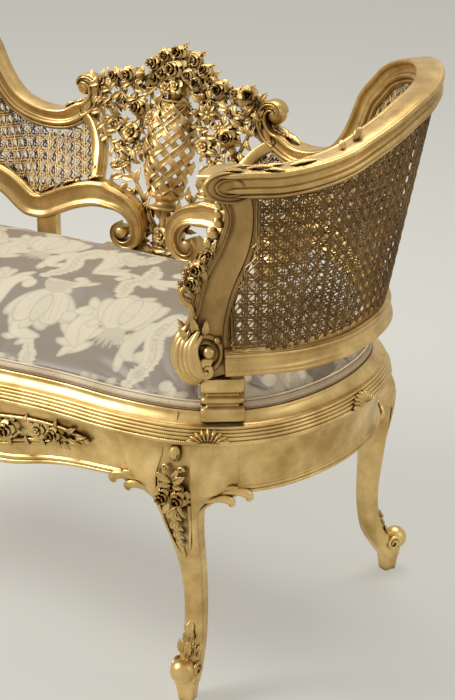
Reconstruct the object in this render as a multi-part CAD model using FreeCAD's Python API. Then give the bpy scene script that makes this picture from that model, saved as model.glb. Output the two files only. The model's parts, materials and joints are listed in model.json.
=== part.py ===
import FreeCAD, Part
import math
import os

V = FreeCAD.Vector

# Seat plan: tangent arcs from the front centre to the back centre of the right half
seat_front = 462.0
bow_radius = 850.0
bow_turn = 7.0
hollow_radius = 650.0
hollow_turn = 9.0
shoulder_radius = 520.0
shoulder_turn = 12.0
corner_radius = 180.0
corner_turn = 60.0
side_radius = 320.0
side_turn = 32.0
rear_corner_radius = 190.0
rear_corner_turn = 68.0

# Carved work is cut in flat facets no longer and no more turned than these
facet_length = 60.0
facet_turn = 15.0
flatness = 0.0000001

# Heights of the seat frame
seat_height = 400.0
moulding_height = 35.0
apron_depth = 68.0
front_drop = 24.0

# Widths across the seat frame, measured inward from the outline
moulding_width = 58.0
gimp_inset = 27.0
apron_inset = 10.0
apron_thickness = 30.0
cove_depth = 6.0
bead_radius = 4.0

# Legs and the joints of the seat frame
leg_girth = 54.0
front_leg_share = 0.277
rear_leg_share = 0.697
front_leg_facing = 7.0
foot_block_height = 24.0
foot_block_half = 15.0
foot_taper = 5.0
foot_ball_radius = 13.0
leg_corner_share = 0.3
tenon_length = 20.0
tenon_root = 12.0
tenon_thickness = 11.0
tenon_height = 34.0
tenon_clearance = 0.2
bracket_reach = 52.0
bracket_drop = 26.0
bracket_thickness = 20.0
corner_block_height = 36.0
corner_block_reach = 27.0
screw_radius = 2.5
screw_head_radius = 5.0
screw_head_height = 3.0
screw_bite = 16.0
screw_place_share = 0.8

# Arms
pedestal_share = 0.326
pedestal_width = 52.0
pedestal_depth = 42.0
pedestal_height = 44.0
pedestal_housing = 8.0
pedestal_front = 13.0
pedestal_flute = 4.0
post_height = 246.0
post_thickness = 36.0
post_lean = 6.5
arm_volute_half_width = 31.0
arm_volute_half_height = 18.0
arm_volute_outward = 32.0
base_volute_radius = 25.0
base_volute_outward = 22.0
dowel_radius = 5.0
dowel_down = 12.0
dowel_up = 28.0

# Wings
wing_rise = 356.0
wing_rake = 45.0
wing_rail_width = 34.0
wing_rail_height = 32.0
low_rail_width = 30.0
low_rail_height = 28.0
low_rail_inset = 18.0
crest_eye_across = 9.0
crest_eye_up = 24.0
crest_ball_radius = 15.0
crest_curl_turn = 260.0
foot_eye_across = 30.0
foot_eye_down = 34.0
foot_eye_radius = 9.0
foot_curl_turn = -360.0
stile_width = 15.0
stile_depth = 24.0
cane_thickness = 2.4
cane_spacing = 13.0
cane_clearance = 0.3
back_block_share = 0.838
back_block_width = 34.0
back_block_depth = 14.0

# Splat
splat_lean = 12.0
splat_setback = 4.0
shoe_half_length = 104.0
shoe_height = 12.0
shoe_depth = 24.0
socle_height = 20.0
socle_radius = 24.0
basket_base = 98.0
basket_height = 138.0
basket_radius = 34.0
basket_wall = 5.0
basket_back = 8.0
basket_sides = 12
strap_width = 6.0
rose_radius = 16.0
rose_depth = 22.0
leaf_length = 30.0
leaf_width = 11.0
leaf_depth = 9.0
stem_half = 3.5
splat_rise = 318.0

# Seat upholstery
crown_rise = 66.0
crown_reach_share = 0.62
cover_thickness = 1.6
cover_gap = 0.3
webbing_width = 50.0
webbing_thickness = 2.0
webbing_bearing = 14.0
webbing_pitch = 78.0
hessian_thickness = 1.0
gimp_width = 12.0
gimp_thickness = 3.0
gimp_lean = 2.5

# Shared limits
overrun = 60.0
pieces = {}


def rad(degrees):
    return math.radians(degrees)


def tangent(heading):
    return V(math.cos(rad(heading)), math.sin(rad(heading)), 0)


def outward(heading):
    return V(math.sin(rad(heading)), -math.cos(rad(heading)), 0)


def build_outline():
    """Arcs as (start length, end length, centre, radius, side, start heading, end heading)."""
    turns = [
        (bow_radius, bow_turn),
        (hollow_radius, -hollow_turn),
        (shoulder_radius, shoulder_turn),
        (corner_radius, corner_turn),
        (side_radius, side_turn),
        (rear_corner_radius, rear_corner_turn),
    ]
    arcs = []
    place = V(0, -seat_front, 0)
    heading = 0.0
    length = 0.0
    for radius, turn in turns:
        side = 1 if turn > 0 else -1
        centre = place - outward(heading) * radius * side
        run = radius * rad(abs(turn))
        arcs.append((length, length + run, centre, radius, side, heading, heading + turn))
        heading += turn
        length += run
        place = centre + outward(heading) * radius * side
    last_turn = 180 - heading
    radius = place.x / math.sin(rad(last_turn))
    centre = place - outward(heading) * radius
    run = radius * rad(last_turn)
    arcs.append((length, length + run, centre, radius, 1, heading, heading + last_turn))
    return arcs


ARCS = build_outline()
half_length = ARCS[-1][1]
moulding_bottom = seat_height - moulding_height
apron_bottom = moulding_bottom - apron_depth
apron_outer = -apron_inset
apron_inner = -apron_inset - apron_thickness


def station(share, offset=0):
    """Point on the outline at a share of its half length, with heading and outward normal."""
    length = share * half_length
    for start, end, centre, radius, side, first, last in ARCS:
        if length <= end or end == half_length:
            heading = first + (last - first) * (length - start) / (end - start)
            normal = outward(heading)
            return centre + normal * (radius * side + offset), heading, normal
    return None


def post_span(share):
    half = leg_girth / 2 / half_length
    return share - half, share + half


front_span = post_span(front_leg_share)
rear_span = post_span(rear_leg_share)


def outline_marks():
    """Shares of the outline where every ring has a corner, so that rings nest."""
    joints = [0, front_span[0], front_leg_share, front_span[1],
              rear_span[0], rear_leg_share, rear_span[1], 1]
    clear = leg_girth / 4 / half_length
    shares = []
    for start, end, centre, radius, side, h0, h1 in ARCS:
        parts = max(math.ceil(abs(h1 - h0) / facet_turn), math.ceil((end - start) / facet_length))
        shares += [(start + (end - start) * part / parts) / half_length for part in range(parts)]
    kept = [share for share in shares if min(abs(share - joint) for joint in joints) > clear]
    return sorted(kept + joints)


MARKS = outline_marks()


def facet_point(share, offset):
    """Point on the flat facet that a ring has at a share of the outline."""
    near = max(mark for mark in MARKS if mark <= share)
    far = min(mark for mark in MARKS if mark > share)
    part = (share - near) / (far - near)
    return station(near, offset)[0] * (1 - part) + station(far, offset)[0] * part


def raised(point, height):
    return V(point.x, point.y, height)


def flat_face(points):
    return Part.Face(Part.makePolygon(points + points[:1]))


def facets(a, b, c, d):
    """Four corners as one flat face, or as two triangles across the shorter diagonal."""
    normal = (b - a).cross(c - a)
    level = abs(normal.dot(d - a)) < flatness * normal.Length
    if level and normal.dot((c - a).cross(d - a)) > 0:
        return [flat_face([a, b, c, d])]
    if (c - a).Length < (d - b).Length + flatness:
        return [flat_face([a, b, c]), flat_face([a, c, d])]
    return [flat_face([a, b, d]), flat_face([b, c, d])]


def flat_skin(sections, closed=False):
    """Solid through sections of equal count, its sides worked in flat facets."""
    faces = []
    pairs = list(zip(sections, sections[1:]))
    if closed:
        pairs.append((sections[-1], sections[0]))
    else:
        for section in (sections[0], sections[-1]):
            faces += facets(*section) if len(section) == 4 else [flat_face(section)]
    count = len(sections[0])
    for near, far in pairs:
        for index in range(count):
            after = (index + 1) % count
            faces += facets(near[index], near[after], far[after], far[index])
    shell = Part.Shell(faces)
    solid = Part.Solid(shell)
    if solid.Volume < 0:
        solid.reverse()
    return solid


def smooth_rows(rows, parts):
    """Rows of a table with others put between them along a smooth curve."""
    result = []
    last = len(rows) - 1
    for index in range(last):
        before, here = rows[max(index - 1, 0)], rows[index]
        there, after = rows[index + 1], rows[min(index + 2, last)]
        for part in range(parts):
            t = part / parts
            row = []
            for a, b, c, d in zip(before, here, there, after):
                row.append(b + (c - a) / 2 * t + (a - 2.5 * b + 2 * c - d / 2) * t ** 2
                           + (1.5 * b - 1.5 * c + (d - a) / 2) * t ** 3)
            result.append(tuple(row))
    return result + [tuple(rows[-1])]


def section_points(outline, share):
    """A section drawn as (offset, height) pairs, stood up at a share of the outline."""
    base, heading, normal = station(share)
    return [raised(base + normal * offset, height) for offset, height in outline]


def sections_between(section, first, last):
    """Sections at every mark from one share to another; a section is a function of the share."""
    near = facet_length / 100 / half_length
    inner = [mark for mark in MARKS if first + near < mark < last - near]
    return [section_points(section(share), share) for share in [first] + inner + [last]]


def mirrored(shape):
    return shape.mirror(V(0, 0, 0), V(1, 0, 0))


def mirrored_sections(sections):
    return [[V(-point.x, point.y, point.z) for point in section] for section in reversed(sections)]


def side_ring(section, first, last):
    return flat_skin(sections_between(section, first, last))


def front_ring(section, last):
    """Ring piece across the front centre."""
    right = sections_between(section, 0, last)
    return flat_skin(mirrored_sections(right[1:]) + right)


def back_ring(section, first):
    """Ring piece across the back centre."""
    right = sections_between(section, first, 1)
    return flat_skin(right + mirrored_sections(right[:-1]))


def full_ring(section):
    right = sections_between(section, 0, 1)
    return flat_skin(right + mirrored_sections(right[1:-1]), True)


def largest(shape):
    """The main solid of a shape that a cut has left with offcuts."""
    return max(shape.Solids, key=lambda solid: solid.Volume)


def joined(shapes):
    return shapes[0].fuse(shapes[1:]).removeSplitter()


def add_pair(name, right):
    pieces[name + "_right"] = right
    pieces[name + "_left"] = mirrored(right)


def polygon_points(centre, radius, sides, direction, turn=0.0):
    """Corners of a regular polygon round a point, square to a direction."""
    helper = V(0, 0, 1) if abs(direction.z) < 0.9 else V(1, 0, 0)
    first = direction.cross(helper).normalize()
    second = direction.cross(first).normalize()
    points = []
    for index in range(sides):
        angle = 2 * math.pi * index / sides + turn
        points.append(centre + first * (radius * math.cos(angle)) + second * (radius * math.sin(angle)))
    return points


def prism(start, end, radius, sides):
    """Many-sided rod between two points."""
    along = (end - start).normalize()
    return flat_skin([polygon_points(start, radius, sides, along), polygon_points(end, radius, sides, along)])


def faceted_ball(centre, radius):
    sections = []
    for level in (-0.95, -0.5, 0.5, 0.95):
        across = radius * math.sqrt(1 - level ** 2)
        sections.append(polygon_points(centre + V(0, 0, level * radius), across, 8, V(0, 0, 1)))
    return flat_skin(sections)


def rectangle(low_offset, high_offset, bottom, top):
    return [(low_offset, bottom), (high_offset, bottom), (high_offset, top), (low_offset, top)]


# Height of the front apron's lower edge: share of the way to the leg, share of the drop
front_edge_shares = [(0, 1), (0.16, 0.95), (0.31, 0.8), (0.47, 0.32), (0.62, 0), (0.8, -0.2), (1, -0.25)]


def front_bottom(share):
    """Lower edge of the front apron, read along its table."""
    place = min(share / front_span[0], 1)
    for (t0, d0), (t1, d1) in zip(front_edge_shares, front_edge_shares[1:]):
        if place <= t1:
            return apron_bottom - front_drop * (d0 + (d1 - d0) * (place - t0) / (t1 - t0))
    return apron_bottom


def apron_section(bottom):
    """Apron with a shallow cove above a double bead at its lower edge."""
    outer = apron_outer
    low = outer - cove_depth
    bead_shares = [(0, 0), (1, 0.6), (1, 1.4), (0, 2), (1, 2.6), (1, 3.4), (0, 4)]
    beads = [(low + across * bead_radius, bottom + rise * bead_radius) for across, rise in bead_shares]
    return [(apron_inner, bottom)] + beads + [
        (low + cove_depth / 4, (moulding_bottom + bottom) / 2), (outer, moulding_bottom - bead_radius),
        (outer, moulding_bottom), (apron_inner, moulding_bottom),
    ]


def moulding_section(share):
    """Reeded seat moulding: shelf under the gimp, broad hollow, three reeds, flat underside."""
    reed = moulding_height / 5
    reed_shares = [
        (-1, 0), (-0.4, 0.15), (0, 0.5), (-0.4, 0.9), (-0.1, 1.3), (-0.3, 1.8), (-1.0, 2.1),
        (-0.9, 2.5), (-1.3, 2.9), (-2.0, 3.1), (-2.8, 3.7), (-3.4, 4.5),
    ]
    reeds = [(across * reed, moulding_bottom + rise * reed) for across, rise in reed_shares]
    return [(-moulding_width, moulding_bottom)] + reeds + [
        (-gimp_inset, seat_height - reed / 4), (-gimp_inset, seat_height), (-moulding_width, seat_height),
    ]


def tenon(share, direction, extra=0):
    """Tenon rooted in a rail end and reaching into the leg post."""
    middle = (apron_outer + apron_inner) / 2
    half = tenon_thickness / 2 + extra
    centre_height = moulding_bottom - apron_depth / 2
    reach = (tenon_length + extra) / half_length
    root = tenon_root / half_length
    low, high = (share - root, share + reach) if direction > 0 else (share - reach, share + root)
    outline = rectangle(
        middle - half, middle + half,
        centre_height - tenon_height / 2 - extra, centre_height + tenon_height / 2 + extra,
    )
    return flat_skin([section_points(outline, low), section_points(outline, high)])


def make_rails(legs):
    """Front, end and back rails, shouldered against the legs and tenoned into their posts."""
    level = apron_section(apron_bottom)
    both_legs = legs + [mirrored(leg) for leg in legs]
    front = front_ring(lambda share: apron_section(front_bottom(share)), front_span[0])
    end = side_ring(lambda share: level, front_span[1], rear_span[0])
    back = back_ring(lambda share: level, rear_span[1])
    front_tenon, back_tenon = tenon(front_span[0], 1), tenon(rear_span[1], -1)
    front = joined([largest(front.cut(both_legs)), front_tenon, mirrored(front_tenon)])
    end = joined([largest(end.cut(legs)), tenon(front_span[1], -1), tenon(rear_span[0], 1)])
    back = joined([largest(back.cut(both_legs)), back_tenon, mirrored(back_tenon)])
    pieces["rail_front"] = front
    add_pair("rail_end", end)
    pieces["rail_back"] = back


def make_mouldings():
    """Reeded mouldings mitred over the leg posts."""
    pieces["moulding_front"] = front_ring(moulding_section, front_leg_share)
    add_pair("moulding_end", side_ring(moulding_section, front_leg_share, rear_leg_share))
    pieces["moulding_back"] = back_ring(moulding_section, rear_leg_share)


def bracket(share, direction, leg):
    """Concave bracket in the corner between a leg and the lower edge of a rail."""
    reach = bracket_reach / half_length
    outer = apron_outer - cove_depth
    sections = []
    for part in (0, 0.25, 0.5, 0.75, 1):
        place = share - direction * reach * part
        top = front_bottom(place) if place < front_leg_share else apron_bottom
        drop = bracket_drop * (1 - part) ** 2 + bead_radius / 4
        sections.append(section_points(rectangle(outer - bracket_thickness, outer, top - drop, top), place))
    rails = [pieces["rail_front"], pieces["rail_end_right"], pieces["rail_back"]]
    return largest(flat_skin(sections).cut([leg] + rails))


# Leg shapes as (height share, front, back, half width) in shares of the leg's height and girth
front_leg_shares = [
    (0.955, -0.13, -0.80, 0.49), (0.89, 0.04, -0.80, 0.50), (0.80, 0.02, -0.76, 0.49),
    (0.66, -0.34, -0.98, 0.38), (0.52, -0.72, -1.28, 0.29), (0.38, -0.90, -1.42, 0.245),
    (0.27, -0.90, -1.40, 0.24), (0.19, -0.76, -1.28, 0.26), (0.12, -0.48, -1.06, 0.28),
    (0.065, -0.38, -0.90, 0.27),
]
rear_leg_shares = [
    (0.955, -0.05, -0.80, 0.49), (0.89, 0.45, -0.74, 0.49), (0.80, 0.68, -0.40, 0.46),
    (0.66, 0.66, -0.12, 0.37), (0.52, 0.55, -0.02, 0.29), (0.38, 0.45, -0.04, 0.245),
    (0.27, 0.50, 0.02, 0.24), (0.19, 0.72, 0.16, 0.26), (0.12, 0.98, 0.44, 0.28),
    (0.065, 1.20, 0.70, 0.27),
]


def leg_points(centre, facing, front, back, half, height):
    """Chamfered square at one height of a leg."""
    side = V(-facing.y, facing.x, 0)
    cut = leg_corner_share * min(half, (front - back) / 2)
    marks = [
        (front, half - cut), (front - cut, half), (back + cut, half), (back, half - cut),
        (back, cut - half), (back + cut, -half), (front - cut, -half), (front, cut - half),
    ]
    return [raised(centre + facing * ahead + side * across, height) for ahead, across in marks]


def make_leg(share, shares, facing_heading, mortises):
    """Cabriole leg with its post, scroll foot, ball and tapered block."""
    centre = station(share)[0]
    facing = outward(facing_heading)
    outline = rectangle(apron_inner, apron_outer, apron_bottom, moulding_bottom)
    post = side_ring(lambda place: outline, *post_span(share))
    shaft = flat_skin([
        leg_points(centre, facing, front * leg_girth, back * leg_girth, half * leg_girth,
                   level * moulding_bottom)
        for level, front, back, half in smooth_rows(shares, 2)
    ])
    foot = (shares[-1][1] + shares[-1][2]) / 2 * leg_girth
    foot_centre = centre + facing * foot
    top_half, low_half = foot_block_half, foot_block_half - foot_taper
    block = flat_skin([
        leg_points(foot_centre, facing, top_half, -top_half, top_half, foot_block_height),
        leg_points(foot_centre, facing, low_half, -low_half, low_half, 0),
    ])
    ball_height = foot_block_height + foot_ball_radius / 2
    ball = faceted_ball(raised(foot_centre + facing * foot_ball_radius, ball_height), foot_ball_radius)
    side = V(-facing.y, facing.x, 0) * foot_block_half
    roll_centre = raised(foot_centre, ball_height)
    roll = prism(roll_centre - side, roll_centre + side, 0.8 * foot_ball_radius, 10)
    leg = joined([shaft, post, block, ball, roll])
    return leg.cut([tenon(place, direction, tenon_clearance) for place, direction in mortises])


def make_legs():
    front = make_leg(front_leg_share, front_leg_shares, front_leg_facing,
                     [(front_span[0], 1), (front_span[1], -1)])
    rear = make_leg(rear_leg_share, rear_leg_shares, station(rear_leg_share)[1],
                    [(rear_span[0], 1), (rear_span[1], -1)])
    add_pair("leg_front", front)
    add_pair("leg_rear", rear)
    return [front, rear]


def make_brackets():
    front, rear = pieces["leg_front_right"], pieces["leg_rear_right"]
    for name, span, leg in (("front", front_span, front), ("rear", rear_span, rear)):
        right = [bracket(span[0], 1, leg), bracket(span[1], -1, leg)]
        pieces["knee_brackets_" + name] = Part.makeCompound(right + [mirrored(piece) for piece in right])


def make_corner_block(span, leg):
    """Glue block notched round the inside of a leg joint, with a screw into each rail."""
    reach = corner_block_reach / half_length
    first, last = span[0] - reach, span[1] + reach
    inner = [first] + [mark for mark in MARKS if first < mark < last] + [last]
    top = moulding_bottom - screw_head_radius
    low = top - corner_block_height
    points = [raised(facet_point(mark, apron_inner), low) for mark in inner]
    block = flat_face(points).extrude(V(0, 0, corner_block_height))
    chord = (points[-1] - points[0]).normalize()
    square = V(chord.y, -chord.x, 0)
    screws = []
    for mark, end in ((span[0], first), (span[1], last)):
        place = mark + (end - mark) * screw_place_share
        target = raised(facet_point(place, apron_inner), low + corner_block_height / 2)
        depth = (target - points[0]).dot(square)
        seat = target - square * depth
        tip = target + square * screw_bite
        head = prism(seat - square * screw_head_height, seat, screw_head_radius, 6)
        screws.append(joined([prism(seat, tip, screw_radius, 6), head]))
    return largest(block.cut([leg] + screws)), screws


def make_corner_blocks():
    screws = []
    for name, span in (("front", front_span), ("rear", rear_span)):
        block, pair = make_corner_block(span, pieces["leg_" + name + "_right"])
        add_pair("corner_block_" + name, block)
        screws += pair + [mirrored(screw) for screw in pair]
    for name in ("rail_front", "rail_back", "rail_end_right", "rail_end_left"):
        pieces[name] = pieces[name].cut(screws)
    pieces["corner_block_screws"] = Part.makeCompound(screws)


# Wing crest: shares of half length, of the rake, and of the rise over the seat
crest_shares = [
    (0.306, -1.02, 0.800), (0.352, -0.49, 0.820), (0.381, -0.18, 0.826), (0.410, 0.09, 0.843),
    (0.442, 0.20, 0.862), (0.475, 0.27, 0.896), (0.508, 0.33, 0.924), (0.541, 0.42, 0.952),
    (0.574, 0.56, 0.972), (0.606, 0.71, 0.989), (0.639, 0.84, 1.000), (0.668, 0.96, 0.994),
    (0.692, 1.00, 0.972), (0.713, 1.00, 0.935), (0.728, 0.98, 0.879), (0.742, 0.96, 0.815),
    (0.758, 0.96, 0.688), (0.778, 0.98, 0.596), (0.807, 1.02, 0.553), (0.836, 1.07, 0.551),
    (0.858, 1.07, 0.588),
]
# Lower wing rail: shares of half length, of the rise over the seat, and of the rail's height
low_shares = [
    (0.328, 0.146, 1), (0.352, 0.146, 1), (0.381, 0.140, 1), (0.410, 0.132, 1), (0.442, 0.126, 1),
    (0.475, 0.121, 1), (0.508, 0.121, 1), (0.541, 0.121, 1), (0.574, 0.121, 1), (0.606, 0.121, 1),
    (0.639, 0.126, 1), (0.668, 0.140, 1.05), (0.692, 0.163, 1.1), (0.713, 0.191, 1.15),
    (0.728, 0.213, 1.2), (0.742, 0.228, 1.25), (0.758, 0.232, 1.25), (0.778, 0.199, 1.3),
    (0.807, 0.124, 1.35), (0.836, 0.115, 1.35), (0.858, 0.142, 1.35), (0.885, 0.180, 1.35),
    (0.909, 0.202, 1.35), (0.926, 0.206, 1.35),
]


def curl_places(start, normal, eye, turn, parts, ease, close_share, size_share):
    """Places on a closing scroll round an eye: (point, normal, size share) from its start."""
    along = V(0, 0, 1).cross(normal)
    offset = start - eye
    reach = offset.Length
    first = math.atan2(offset.z, offset.dot(along))
    places = []
    for part in range(1, parts + 1):
        t = part / parts
        eased = t ** ease
        angle = first + rad(turn) * t
        radius = reach * close_share ** eased
        point = eye + along * (radius * math.cos(angle)) + V(0, 0, radius * math.sin(angle))
        places.append((point, normal, size_share ** eased))
    return places


def path_frames(places):
    """Frames (point, outward, up, size share) along a path of (point, normal, size share)."""
    frames = []
    last = len(places) - 1
    for index, (point, normal, size) in enumerate(places):
        along = places[min(index + 1, last)][0] - places[max(index - 1, 0)][0]
        along.normalize()
        up = normal.cross(along).normalize()
        out = along.cross(up).normalize()
        frames.append((point, out, up, size))
    return frames


def crest_path():
    """Frames of the crest with its end scroll, and the eye of that scroll."""
    places = []
    for share, offset, rise in crest_shares:
        point, heading, normal = station(share, offset * wing_rake)
        places.append((raised(point, seat_height + rise * wing_rise), normal, 1))
    start, normal, size = places[-1]
    along = V(0, 0, 1).cross(normal)
    eye = start + along * crest_eye_across + V(0, 0, crest_eye_up)
    places += curl_places(start, normal, eye, crest_curl_turn, 8, 1, 0.12, 0.3)
    return path_frames(places), eye


def low_path():
    """Frames of the lower rail with its foot scroll, and the eye of that scroll."""
    places = []
    for share, rise, size in low_shares:
        point, heading, normal = station(share, -low_rail_inset)
        places.append((raised(point, seat_height + rise * wing_rise), normal, size))
    start, normal, size = places[-1]
    along = V(0, 0, 1).cross(normal)
    eye = start + along * foot_eye_across - V(0, 0, foot_eye_down)
    curl = curl_places(start, normal, eye, foot_curl_turn, 10, 0.7, 0.16, 0.24)
    places += [(point, normal, size * share) for point, normal, share in curl]
    return path_frames(places), eye


CREST, crest_eye = crest_path()
LOW, foot_eye = low_path()
crest_count = len(crest_shares) - 1
low_count = len(low_shares) - 1
pedestal_top = seat_height + pedestal_height


def rail_points(frame, width, height, sense):
    """Moulded rail section whose crown is at the frame's point; sense -1 hangs, 1 stands."""
    point, out, up, size = frame
    side_shares = [(0.5, 0), (0.96, 0.24), (0.74, 0.54), (0.86, 0.8), (0.66, 1)]
    marks = side_shares + [(-across, along) for across, along in reversed(side_shares)]
    narrow = (0.7 + 0.3 * min(size, 1)) * width / 2
    return [point + out * (across * narrow) + up * (sense * along * height * size)
            for across, along in marks]


def pedestal_place(inward):
    place, heading, normal = station(pedestal_share, -gimp_inset + pedestal_front - inward)
    return place, tangent(heading), normal


# Arm post outline as shares of the post height, along the wing and upward
post_front_shares = [
    (-0.11, 0.0), (-0.20, 0.14), (-0.13, 0.32), (-0.10, 0.45), (-0.02, 0.62), (0.02, 0.76), (-0.03, 0.90),
]
post_back_shares = [(0.16, 0.90), (0.175, 0.76), (0.155, 0.60), (0.09, 0.44), (0.045, 0.28), (0.05, 0.0)]
arm_volute_share = (0.035, 0.915)
base_volute_share = (-0.085, 0.105)
volute_corners = 14


def make_arm_post():
    """S-scroll arm post: shaped shaft, volute at the base and volute under the arm."""
    place, side, normal = pedestal_place(pedestal_depth / 2)
    origin = raised(place, pedestal_top)

    def at(pair, depth=0.0):
        return origin + side * (pair[0] * post_height) + V(0, 0, pair[1] * post_height) + normal * depth

    outline = smooth_rows(post_front_shares, 2) + smooth_rows(post_back_shares, 2)
    half = post_thickness / 2
    shaft = flat_skin([[at(pair, -half) for pair in outline], [at(pair, half) for pair in outline]])
    rolls = []
    for centre, across, rise, inward, out in (
            (arm_volute_share, arm_volute_half_width, arm_volute_half_height, half, arm_volute_outward),
            (base_volute_share, base_volute_radius, base_volute_radius, base_volute_outward,
             base_volute_outward)):
        rim = []
        for corner in range(volute_corners):
            angle = 2 * math.pi * corner / volute_corners
            rim.append((centre[0] + across * math.cos(angle) / post_height,
                        centre[1] + rise * math.sin(angle) / post_height))
        rolls.append(flat_skin([[at(pair, -inward) for pair in rim], [at(pair, out) for pair in rim]]))
    post = joined([shaft] + rolls)
    post.rotate(origin, side, -post_lean)
    floor = Part.makeBox(4 * overrun, 4 * overrun, overrun,
                         V(origin.x - 2 * overrun, origin.y - 2 * overrun, origin.z - overrun))
    return largest(post.cut(floor))


def pedestal_box(extra=0.0):
    """Pedestal block, housed a little way into the moulding."""
    place, side, normal = pedestal_place(0)
    half = pedestal_width / 2 + extra
    deep = pedestal_depth + extra
    base = seat_height - pedestal_housing
    corners = [
        place + side * half + normal * extra, place - side * half + normal * extra,
        place - side * half - normal * deep, place + side * half - normal * deep,
    ]
    return flat_face([raised(p, base) for p in corners]).extrude(V(0, 0, pedestal_housing + pedestal_height))


def make_pedestal():
    """Block with two flutes across its front."""
    block = pedestal_box()
    place, side, normal = pedestal_place(0)
    run = side * (pedestal_width / 2 + pedestal_flute)
    for level in (0.36, 0.7):
        centre = raised(place, seat_height + level * pedestal_height)
        block = block.cut(prism(centre - run, centre + run, pedestal_flute, 8))
    return block


def make_dowel():
    """Dowel through the pedestal, from the moulding into the arm post."""
    place = pedestal_place(pedestal_depth / 2)[0]
    return prism(raised(place, seat_height - pedestal_housing - dowel_down),
                 raised(place, pedestal_top + dowel_up), dowel_radius, 8)


def stile_sections():
    """Sections of the inner stile from the bottom rail to the end scroll."""
    foot = LOW[low_count - 1][0] + LOW[low_count - 1][2] * (low_rail_height / 2)
    head = crest_eye - V(0, 0, crest_eye_up + wing_rail_height / 2)
    bend_shares = [(0, 0), (0.06, 0.2), (0.14, 0.42), (0.28, 0.64), (0.6, 0.86), (1, 1)]
    half, deep = stile_width / 2, stile_depth / 2
    sections = []
    for across, rise in bend_shares:
        centre = V(foot.x + (head.x - foot.x) * across, foot.y + (head.y - foot.y) * rise,
                   foot.z + (head.z - foot.z) * rise)
        sections.append([centre + V(x, y, 0) for x, y in
                         ((-half, -deep), (half, -deep), (half, deep), (-half, deep))])
    return sections


def between(frames, place):
    """Point, outward and up directions at a fractional place in a list of frames."""
    index = min(int(place), len(frames) - 2)
    t = place - index
    near, far = frames[index], frames[index + 1]
    return [near[item] * (1 - t) + far[item] * t for item in range(4)]


# Places along the crest and the lower rail that the cane joins, past those that face each other
cane_fan_places = [(16.5, 17), (17, 18), (18, 19), (18.5, 20), (19, 21), (20, 22)]


def cane_skin(offset):
    """Thin curved panel between the wing rails at an offset across them."""
    places = [(0.5, 0.5)] + [(place, place) for place in range(1, cane_fan_places[0][1])] + cane_fan_places
    near, far = offset - cane_thickness / 2, offset + cane_thickness / 2
    sections = []
    for crest_place, low_place in places:
        crown, out, up, size = between(CREST, crest_place)
        high = crown - up * (wing_rail_height + cane_clearance)
        foot, foot_out, foot_up, foot_size = between(LOW, low_place)
        low = foot + foot_up * (low_rail_height * foot_size + cane_clearance)
        sections.append([low + foot_out * near, low + foot_out * far, high + out * far, high + out * near])
    return flat_skin(sections)


def make_wings():
    """Arm posts, pedestals, moulded wing rails with their scrolls, stiles and cane skins."""
    dowel = make_dowel()
    post = make_arm_post().cut(dowel)
    pedestal = make_pedestal().cut(dowel)
    top = flat_skin([rail_points(f, wing_rail_width, wing_rail_height, -1) for f in CREST])
    top = largest(top.cut(post)).fuse(faceted_ball(crest_eye, crest_ball_radius))
    low = flat_skin([rail_points(f, low_rail_width, low_rail_height, 1) for f in LOW])
    out = LOW[-1][1] * (low_rail_width / 2)
    eye = prism(foot_eye - out, foot_eye + out, foot_eye_radius, 10)
    low = largest(low.cut([post, pedestal])).fuse(eye)
    stile = largest(flat_skin(stile_sections()).cut([top, low]))
    pieces["arm_dowels"] = Part.makeCompound([dowel, mirrored(dowel)])
    add_pair("arm_post", post)
    add_pair("arm_pedestal", pedestal)
    add_pair("wing_top_rail", top)
    add_pair("wing_bottom_rail", low)
    add_pair("wing_stile", stile)
    for name, side in (("cane_outer", 1), ("cane_inner", -1)):
        skin = cane_skin(side * cane_spacing / 2)
        add_pair(name, largest(skin.cut([post, pedestal, stile])))


def make_back_blocks():
    """Short blocks that carry the wings on the back moulding."""
    place, heading, normal = station(back_block_share, -low_rail_inset)
    side = tangent(heading) * (back_block_width / 2)
    deep = normal * (back_block_depth / 2)
    base = seat_height - pedestal_housing
    corners = [place + side + deep, place - side + deep, place - side - deep, place + side - deep]
    top = min(point.z for point, out, up, size in LOW[:low_count]) + low_rail_height / 2
    block = flat_face([raised(p, base) for p in corners]).extrude(V(0, 0, top - base))
    add_pair("back_block", largest(block.cut(pieces["wing_bottom_rail_right"])))


def splat_origin():
    """Foot of the splat; it is drawn upright here and then leaned back."""
    place = station(1, -low_rail_inset)[0]
    return V(0, place.y + splat_setback, seat_height)


def splat_point(across, rise, depth=0.0):
    base = splat_origin()
    return V(across, base.y + depth, base.z + rise)


def rose(across, rise, size=1.0):
    """Many-sided carved rose, widest at mid depth, facing forward."""
    sections = []
    for depth, share in ((0.5, 0.6), (-0.05, 1), (-0.5, 0.55)):
        centre = splat_point(across, rise, depth * rose_depth * size)
        sections.append(polygon_points(centre, rose_radius * size * share, 6, V(0, -1, 0)))
    return flat_skin(sections)


def leaf(across, rise, angle, size=1.0):
    """Pointed carved leaf lying in the splat's plane."""
    along = V(math.cos(rad(angle)), 0, math.sin(rad(angle)))
    centre = splat_point(across, rise)
    sections = []
    for place, share in ((-0.5, 0.12), (-0.15, 1), (0.2, 0.8), (0.5, 0.08)):
        middle = centre + along * (place * leaf_length * size)
        wide = along.cross(V(0, 1, 0)) * (leaf_width / 2 * size * share)
        deep = V(0, leaf_depth / 2 * share, 0)
        sections.append([middle + wide, middle + deep, middle - wide, middle - deep])
    return flat_skin(sections)


def stem(points, half=stem_half):
    """Square stem through points of the splat."""
    places = [splat_point(across, rise) for across, rise in points]
    rods = []
    for start, end in zip(places, places[1:]):
        along = (end - start).normalize() * (half / 2)
        rods.append(prism(start - along, end + along, half * 1.4, 4))
    return rods


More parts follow.
